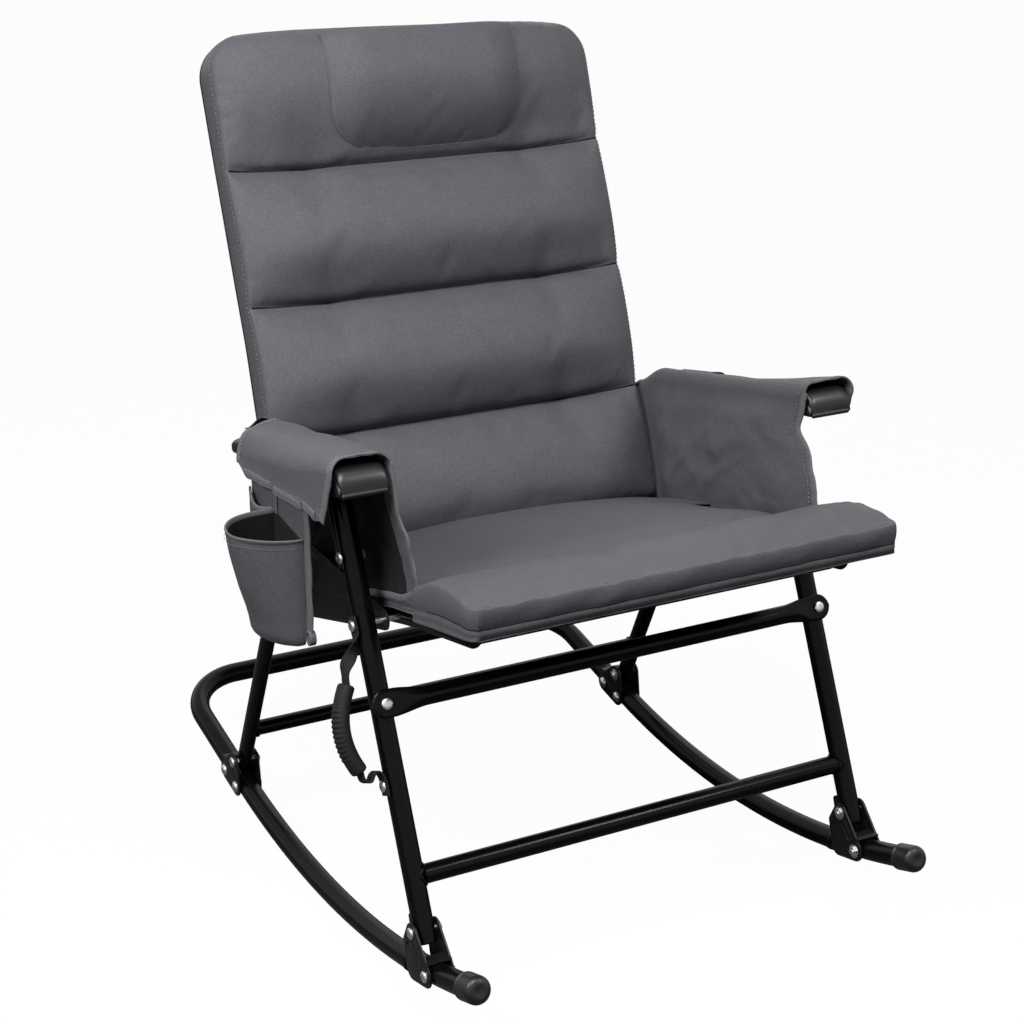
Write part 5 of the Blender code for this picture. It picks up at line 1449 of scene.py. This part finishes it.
def make_pockets():
    panel_x = ARM_X + ARM_HALF_WIDTH + GAP + 0.0012

    def panel_shape(u, v):
        y = POCKET_FRONT_Y + (POCKET_REAR_Y - POCKET_FRONT_Y) * 0.5 * (u + 1.0)
        top = hem_height(y) + 0.004
        z = POCKET_BOTTOM_Z + (top - POCKET_BOTTOM_Z) * 0.5 * (v + 1.0)
        bow = 0.0016 * crinkle(y, z, 7.0, 0.05)
        return Vector((-(panel_x + bow), y, z)), (y, z)

    panel = cloth("pocket_sheet", 40, 40, 0.0018, panel_shape)
    keep(panel, "armrests", "fabric", nodes=("pocket_panel",))
    front = []
    for step in range(25):
        ripple = Vector((-0.0012, 0.0012 * math.sin(0.9 * step), 0.0))
        front.append(panel_shape(-1.0, 1.0 - 2.0 * step / 24)[0] + ripple)
    corner = Vector((-panel_x - 0.001, POCKET_FRONT_Y, POCKET_BOTTOM_Z + 0.004))
    loop = [corner + Vector((0.0, a, b)) for a, b in oval(0.006, 0.008)]
    trims = [binding("pocket_front_binding", front, 0.0065, 0.0016, Y_AXIS),
             binding("pocket_tab", loop + loop[:1], 0.0042, 0.0011, X_AXIS)]
    make_flat_pockets(panel_x)
    make_cup(panel_x)


def make_flat_pockets(panel_x):
    """The pockets' bound tops are sewn over the cover's hem; behind the cup a patch pocket gapes."""
    for name, start, end, rise in POCKET_BANDS:
        path = []
        for step in range(25):
            y = start + (end - start) * step / 24
            out = 0.0074 + 0.0012 * crinkle(y, 2.0, rise, 0.02)
            path.append(Vector((-(panel_x + out), y, hem_height(y) + 0.001 + rise)))
        binding(f"pocket_band_{name}", path, 0.0046, 0.0013, Z_AXIS)
        row = [point + Vector((-0.0014, 0.0, -0.0030)) for point in path]
        stitches(f"pocket_band_stitches_{name}", row, "armrests", *BAND_STITCH)
    seam = line_between(*(Vector((-(panel_x + 0.0022), y, z)) for y, z in POCKET_SEAM), 16)
    binding("pocket_seam", seam, 0.0028, 0.0012, Y_AXIS)

    def shape(u, v):
        share = 0.5 * (u + 1.0)
        y = PATCH_FRONT_Y + (POCKET_REAR_Y - PATCH_FRONT_Y) * share
        top = PATCH_TOP_Z + 0.005 * smooth_step(0.3, 1.0, share) - 0.006 * math.sin(math.pi * share)
        z = PATCH_BOTTOM_Z + (top - PATCH_BOTTOM_Z) * 0.5 * (v + 1.0)
        gape = 0.0085 * math.sin(math.pi * share) * smooth_step(0.0, 1.0, v)
        return Vector((-(panel_x + 0.0028 + gape + 0.0010 * crinkle(y, z, 3.0, 0.03)), y, z)), (y, z)

    patch = cloth("patch_pocket", 24, 24, 0.0016, shape)
    keep(patch, "armrests", "fabric")
    rim = [shape(-1.0 + 2.0 * step / 24, 1.0)[0] for step in range(25)]
    trim = binding("patch_binding", rim, 0.0036, 0.0015, Z_AXIS)


def cup_outline(wall_x, rise, inset=0.0):
    """One level of the cup: flat at the panel, drawn out to a blunt corner, narrower at the bottom."""
    tuck = math.sqrt(max(1.0 - (1.0 - min(rise / 0.12, 1.0)) ** 2, 0.0))
    low, high = CUP_BULGE
    bulge = (low + (high - low) * smooth_step(-0.2, 1.1, rise)) * (0.62 + 0.38 * tuck) - 2.0 * inset
    middle = 0.5 * (CUP_FRONT_Y + CUP_REAR_Y)
    half = 0.5 * (CUP_REAR_Y - CUP_FRONT_Y) * (0.88 + 0.12 * tuck) - inset
    ring = []
    for step in range(41):
        angle = math.pi * step / 40
        y = middle + half * math.cos(angle) + CUP_SKEW * math.sin(angle) ** 2
        x = wall_x + inset + bulge * math.sin(angle) ** 1.05
        z = CUP_BOTTOM_Z + rise * CUP_HEIGHT
        if not inset:
            x += 0.0022 * crinkle(y, z, 3.0, 0.035) * math.sin(angle) * min(4.0 * rise, 1.0)
        z += 0.013 * rise * smooth_step(-0.4, 1.0, math.cos(angle)) - 0.005 * (1.0 - rise) * math.sin(angle)
        ring.append(Vector((-x, y, z)))
    return ring


def make_cup(panel_x):
    wall_x = panel_x + 0.0014
    rises = [0.0, 0.012, 0.03, 0.06, 0.10, 0.14, 0.2, 0.3, 0.4, 0.5, 0.6, 0.7, 0.8, 0.88, 0.94, 1.0]
    rings = [cup_outline(wall_x, rise) for rise in rises]
    rings += [cup_outline(wall_x, rise, 0.0022) for rise in reversed(rises[3:])]
    cup = pulled("cup", rings)
    keep(cup, "armrests", "fabric", nodes=("cup_pocket",))
    # Faces inside the rim are black: lining and painted shade inside the cup.
    cup.data.materials.append(COATS["lining_and_shade"])
    outside = len(rises) * len(rings[0])
    for face in cup.data.polygons:
        if min(face.vertices) >= outside - len(rings[0]) and max(face.vertices) >= outside:
            face.material_index = 1
    rim = [point + Vector((0.0, 0.0, 0.0005)) for point in cup_outline(wall_x, 1.0, 0.0008)]
    trim = binding("cup_binding", rim, 0.0036, 0.0014, Z_AXIS)
    row = [point + Vector((-0.0012, 0.0, -0.0072)) for point in cup_outline(wall_x, 1.0)[2:-2]]
    stitches("cup_stitches", row, "armrests", *CUP_STITCH)


# Carry handle

def handle_point(up, out, across=0.0):
    return leg_point(-(LEG_X + LEG_RADIUS + GAP + out), up, across)


def grip_point(share):
    bow = 4.0 * share * (1.0 - share)
    out = GRIP_LOW_OUT + (GRIP_HIGH_OUT - GRIP_LOW_OUT) * share + GRIP_BOW * bow
    return GRIP_LOW_UP + GRIP_LENGTH * share, out


def make_strap(name, points, twist, node):
    """Webbing along (up, out) points, turned over by twist between its ends."""
    path = curve_through([handle_point(up, out + 0.5 * STRAP_THICKNESS) for up, out in points], 8)

    def section(share):
        turn = twist * smooth_step(0.20, 0.72, share)
        narrow = 1.0 - 0.25 * math.sin(turn) ** 2
        return [(a * math.cos(turn) - b * math.sin(turn), a * math.sin(turn) + b * math.cos(turn))
                for a, b in tape(STRAP_HALF_WIDTH * narrow, 0.5 * STRAP_THICKNESS)]

    strap = swept(name, path, section, BEHIND_LEG)
    count = len(path)
    places = []
    for index, vertex in enumerate(strap.data.vertices):
        ring, step = divmod(index, 10)
        places.append((vertex.co.copy(), (0.002 * step, 0.16 * ring / count)))
    mapped(strap, places)
    keep(strap, "front_legs", "webbing", nodes=(node,))


def make_handle():
    low_up, low_out = grip_point(0.0)
    high_up, high_out = grip_point(1.0)
    upper = [(high_up - 0.012, high_out), (high_up + 0.006, high_out), (high_up + 0.022, 0.8 * high_out),
             (SEAT_PIVOT_UP - 0.028, 0.30 * high_out), (SEAT_PIVOT_UP - 0.012, 0.0004), (SEAT_PIVOT_UP, 0.0),
             (SEAT_PIVOT_UP + 0.011, 0.0)]
    make_strap("strap_upper", upper, math.pi, "handle_strap_upper")
    lower = [(low_up + 0.012, low_out), (low_up - 0.002, low_out), (low_up - 0.011, 0.92 * low_out),
             (low_up - 0.013, 0.66 * low_out), (low_up - 0.006, 0.46 * low_out),
             (low_up - 0.004, 0.24 * low_out), (low_up - 0.011, 0.05 * low_out), (STRAP_LOW_UP, 0.0),
             (STRAP_LOW_UP - 0.011, 0.0)]
    make_strap("strap_lower", lower, 0.0, "handle_strap_lower")
    rings = []
    steps = 112
    for step in range(steps + 1):
        share = step / steps
        up, out = grip_point(share)
        centre = handle_point(up, out + 0.5 * STRAP_THICKNESS)
        before = handle_point(*grip_point(max(share - 0.02, 0.0)))
        after = handle_point(*grip_point(min(share + 0.02, 1.0)))
        tangent = (after - before).normalized()
        outwards = tangent.cross(BEHIND_LEG).normalized()
        outwards = -outwards if outwards.x > 0.0 else outwards
        end = min(share, 1.0 - share) * GRIP_LENGTH
        shut = 0.82 + 0.18 * math.sqrt(1.0 - (1.0 - min(end / 0.003, 1.0)) ** 2)
        ribbed = smooth_step(0.14, 0.20, share) * (1.0 - smooth_step(0.72, 0.78, share))
        rib = 0.5 - 0.5 * math.cos(2.0 * math.pi * share * GRIP_LENGTH / RIB_PITCH)
        ring = []
        for a, b in oval(1.0, 1.0, 28):
            raise_by = 0.0015 * ribbed * rib * max(b, 0.0) ** 0.5
            ring.append(centre + BEHIND_LEG * (GRIP_HALF_WIDTH * shut * a)
                        + outwards * ((GRIP_HALF_DEPTH * shut + raise_by) * b))
        rings.append(ring)
    keep(pulled("grip", rings), "front_legs", "rubber", nodes=("handle_grip",))


# Soft pieces

def outline_path(shape, w, u_range, v_range, steps=80):
    """Path on a pad's surface between two corners of its map."""
    path = []
    for step in range(steps + 1):
        share = step / steps
        u = u_range[0] + (u_range[1] - u_range[0]) * share
        v = v_range[0] + (v_range[1] - v_range[0]) * share
        path.append(shape(u, v, w)[0])
    return path


def paint_lining_and_shade(piece, test):
    """Faces that the test picks are black: lining, and painted shade where they lie in shadow."""
    piece.data.materials.append(COATS["lining_and_shade"])
    for face in piece.data.polygons:
        if test(face.normal, face.center - PLACE):
            face.material_index = 1


def seam_shadow_cord(name, path, body, radius=0.0009):
    """A black cord along the shut seam between two panels: painted shadow in the seam, a dark line."""
    return keep(swept(name, path, lambda share: oval(radius, radius, 8)), body, "fabric", "lining_and_shade")


def press(pieces, base):
    """Give each piece its own copy of its mesh."""
    for piece in pieces:
        base + PLACE
        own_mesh(piece)


def make_soft():
    seat = pad("seat_cushion", SEAT_COLUMNS, len(SEAT_ROWS) - 1, 13, seat_shape, seat_held, *SEAT_SETTLE)
    keep(seat, "seat", "fabric", nodes=("seat_pad",))
    # The underside and the rear of the seat's sides are black: lining and painted shade under the arms.
    paint_lining_and_shade(seat, lambda normal, spot: normal.z < -0.8 or (abs(normal.x) > 0.5 and spot.y > 0.300))
    back = pad("back_cushion", BACK_COLUMNS, len(BACK_ROWS) - 1, 5, back_shape, back_held, *BACK_SETTLE)
    keep(back, "back", "fabric", nodes=("back_pad",))
    # The back's rear faces are black: lining and painted shade.
    paint_lining_and_shade(back, lambda normal, spot: normal.dot(OUT_OF_BACK) < -0.8)
    rest = pad("head_cushion", 56, 36, 2, headrest_shape, headrest_held, *HEAD_SETTLE)
    keep(rest, "back", "fabric", nodes=("headrest",))
    on_back = [back, rest]
    on_seat = [seat]
    for side, sign in SIDES:
        row = [point + OUT_OF_BACK * 0.0006 + X_AXIS * (0.0010 * sign)
               for point in outline_path(back_shape, 0.10, (sign, sign), (-0.9, 0.84), 200)]
        on_back.append(stitches(f"back_stitches_{side}", row, "back", *EDGE_STITCH))
        # Black cords paint the shadow in the side seams of the back and the seat.
        edge = outline_path(back_shape, 0.985, (sign, sign), (-1.0, 1.0), 120)
        on_back.append(seam_shadow_cord(f"back_seam_shadow_{side}", edge, "back"))
        edge = outline_path(seat_shape, SEAT_SEAM, (sign, sign), (-1.0, -0.35), 60)
        on_seat.append(seam_shadow_cord(f"seat_seam_shadow_{side}", edge, "seat"))
    # Black cords paint the shadow in the grooves of the channel seams.
    for number, level in enumerate(BACK_SEAMS_UP):
        row = min(range(len(BACK_ROWS)), key=lambda index: abs(BACK_ROWS[index] - level))
        v = 2.0 * row / (len(BACK_ROWS) - 1) - 1.0
        path = outline_path(back_shape, 0.0, (-0.985, 0.985), (v, v), 150)
        path = [point + OUT_OF_BACK * 0.0012 for point in path]
        on_back.append(seam_shadow_cord(f"channel_seam_shadow_{number}", path, "back", 0.0011))
    fold = [point + Vector((0.0, 0.0060, 0.0007))
            for point in outline_path(seat_shape, 0.0, (-0.98, 0.98), (-1.0, -1.0), 160)]
    on_seat.append(stitches("seat_stitches", fold, "seat", *ROLL_STITCH))
    hem = outline_path(headrest_shape, 0.0, (-0.97, -0.97), (0.98, -0.9), 60)
    hem += outline_path(headrest_shape, 0.0, (-0.9, 0.9), (-0.985, -0.985), 60)
    hem += outline_path(headrest_shape, 0.0, (0.97, 0.97), (-0.9, 0.98), 60)
    hem = [point + OUT_OF_BACK * 0.0006 for point in hem]
    on_back.append(stitches("headrest_stitches", hem, "back", *HEAD_STITCH))
    # A black cord paints the shadow in the seam along the seat's front.
    edge = outline_path(seat_shape, SEAT_SEAM, (-1.0, 1.0), (-1.0, -1.0), 90)
    on_seat.append(seam_shadow_cord("seat_seam_shadow_front", edge, "seat"))
    press(on_back, back_point(0.0, 0.0, -BACK_EDGE_THICKNESS))
    press(on_seat, Vector((0.0, SEAT_PIVOT.y, seat_pad_bottom(SEAT_PIVOT.y))))
    make_crease()


def make_crease():
    """Cloth that carries the seat's surface on over the hinge, in under the back."""
    def shape(u, v):
        x = (SEAT_HALF_WIDTH + 0.003) * u
        y = CREASE_START_Y + CREASE_DEPTH * 0.5 * (v + 1.0)
        level = seat_pad_top(y, 0.88 * u) + seat_tail(y) * smooth_step(0.405, 0.470, y)
        level -= 0.0030 * (1.0 - smooth_step(CREASE_START_Y, 0.460, y))
        return Vector((x, y, level)), (x, y)

    piece = cloth("crease_cloth", 60, 30, 0.0016, shape)
    piece.data.materials.append(COATS["fabric"])
    piece.data.transform(Matrix.Translation(PLACE))
    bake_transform(piece)


def make_stay(side, sign):
    """Flat stay on the outside of the leg, from its screw up under the arm."""
    out = sign * (LEG_X + LEG_RADIUS + 0.0012)
    path = [leg_point(out, STAY_LOW_UP + STAY_LENGTH * step / 12, 0.003) for step in range(13)]
    stay = swept(f"arm_stay_{side}", path, lambda share: tape(0.0065, 0.0010), BEHIND_LEG)
    keep(stay, "front_legs", "sheet")


def make_arms():
    for side, sign in SIDES:
        lift_tail(refined(f"armrest_{side}", 0.0012, "armrests", "plastic"), sign)
        make_stay(side, sign)
        make_arm_ends(side, sign)
        make_arm_cover(side, sign)
        make_side_panel(side, sign)


# Studio

def make_floor():
    lone()
    bpy.ops.mesh.primitive_plane_add(size=30.0)
    floor = named("studio_floor")
    made = Finish("studio_white", (0.9, 0.9, 0.9), 0.9)
    white = made.node("ShaderNodeEmission", None, {"Color": WHITE, "Strength": 1.0})
    seen = made.node("ShaderNodeLightPath", out="Is Camera Ray")
    made.tint(seen, WHITE[:3], 0.12, 0.92)
    matt = Wire(made, made.shader.outputs[0])
    mixed = made.node("ShaderNodeMixShader", None, {0: seen * 0.97, 1: matt, 2: white})
    made.fill(made.tree.nodes["Material Output"].inputs["Surface"], mixed)
    floor.data.materials.append(made.material)


def make_world():
    world = bpy.context.scene.world or bpy.data.worlds.new("studio")
    bpy.context.scene.world = world
    world.use_nodes = True
    room = Nodes(world.node_tree)
    light = room.tree.nodes["Background"]
    room.fill(light.inputs["Color"], WHITE)
    room.fill(light.inputs["Strength"], ROOM_LIGHT)
    white = room.node("ShaderNodeBackground", None, {"Color": WHITE, "Strength": 1.0})
    camera_ray = room.node("ShaderNodeLightPath", out="Is Camera Ray")
    seen = camera_ray
    for kind in ("Is Glossy Ray", "Is Transmission Ray"):
        seen = seen.math("MAXIMUM", seen, camera_ray.beside(kind))
    lit = Wire(room, light.outputs[0])
    mixed = room.node("ShaderNodeMixShader", None, {0: seen, 1: lit, 2: white})
    room.fill(room.tree.nodes["World Output"].inputs["Surface"], mixed)


def make_lamp(name, place, size, power, target):
    lone()
    bpy.ops.object.light_add(type="AREA", location=place)
    lamp = named(name)
    lamp.data.shape = "DISK"
    lamp.data.size = size
    lamp.data.energy = power
    lamp.rotation_euler = (Vector(target) - Vector(place)).to_track_quat("-Z", "Y").to_euler()


def make_camera():
    lone()
    bpy.ops.object.camera_add()
    camera = named("photo_camera")
    level = math.cos(CAMERA_ELEVATION)
    back = Vector((math.sin(CAMERA_AZIMUTH) * level, -math.cos(CAMERA_AZIMUTH) * level,
                   math.sin(CAMERA_ELEVATION)))
    camera.location = CAMERA_PLACE + PLACE
    camera.rotation_euler = (-back).to_track_quat("-Z", "Y").to_euler()
    camera.data.lens = FOCAL_LENGTH
    camera.data.sensor_width = SENSOR
    bpy.context.scene.camera = camera


def make_studio():
    make_floor()
    make_world()
    for name, settings in LAMPS.items():
        make_lamp(name, *settings)
    make_camera()
    bpy.context.scene.view_settings.view_transform = "Standard"


make_rocker()
make_legs()
make_seat_frame()
make_fasteners()
make_soft()
make_arms()
make_pockets()
make_handle()
make_studio()
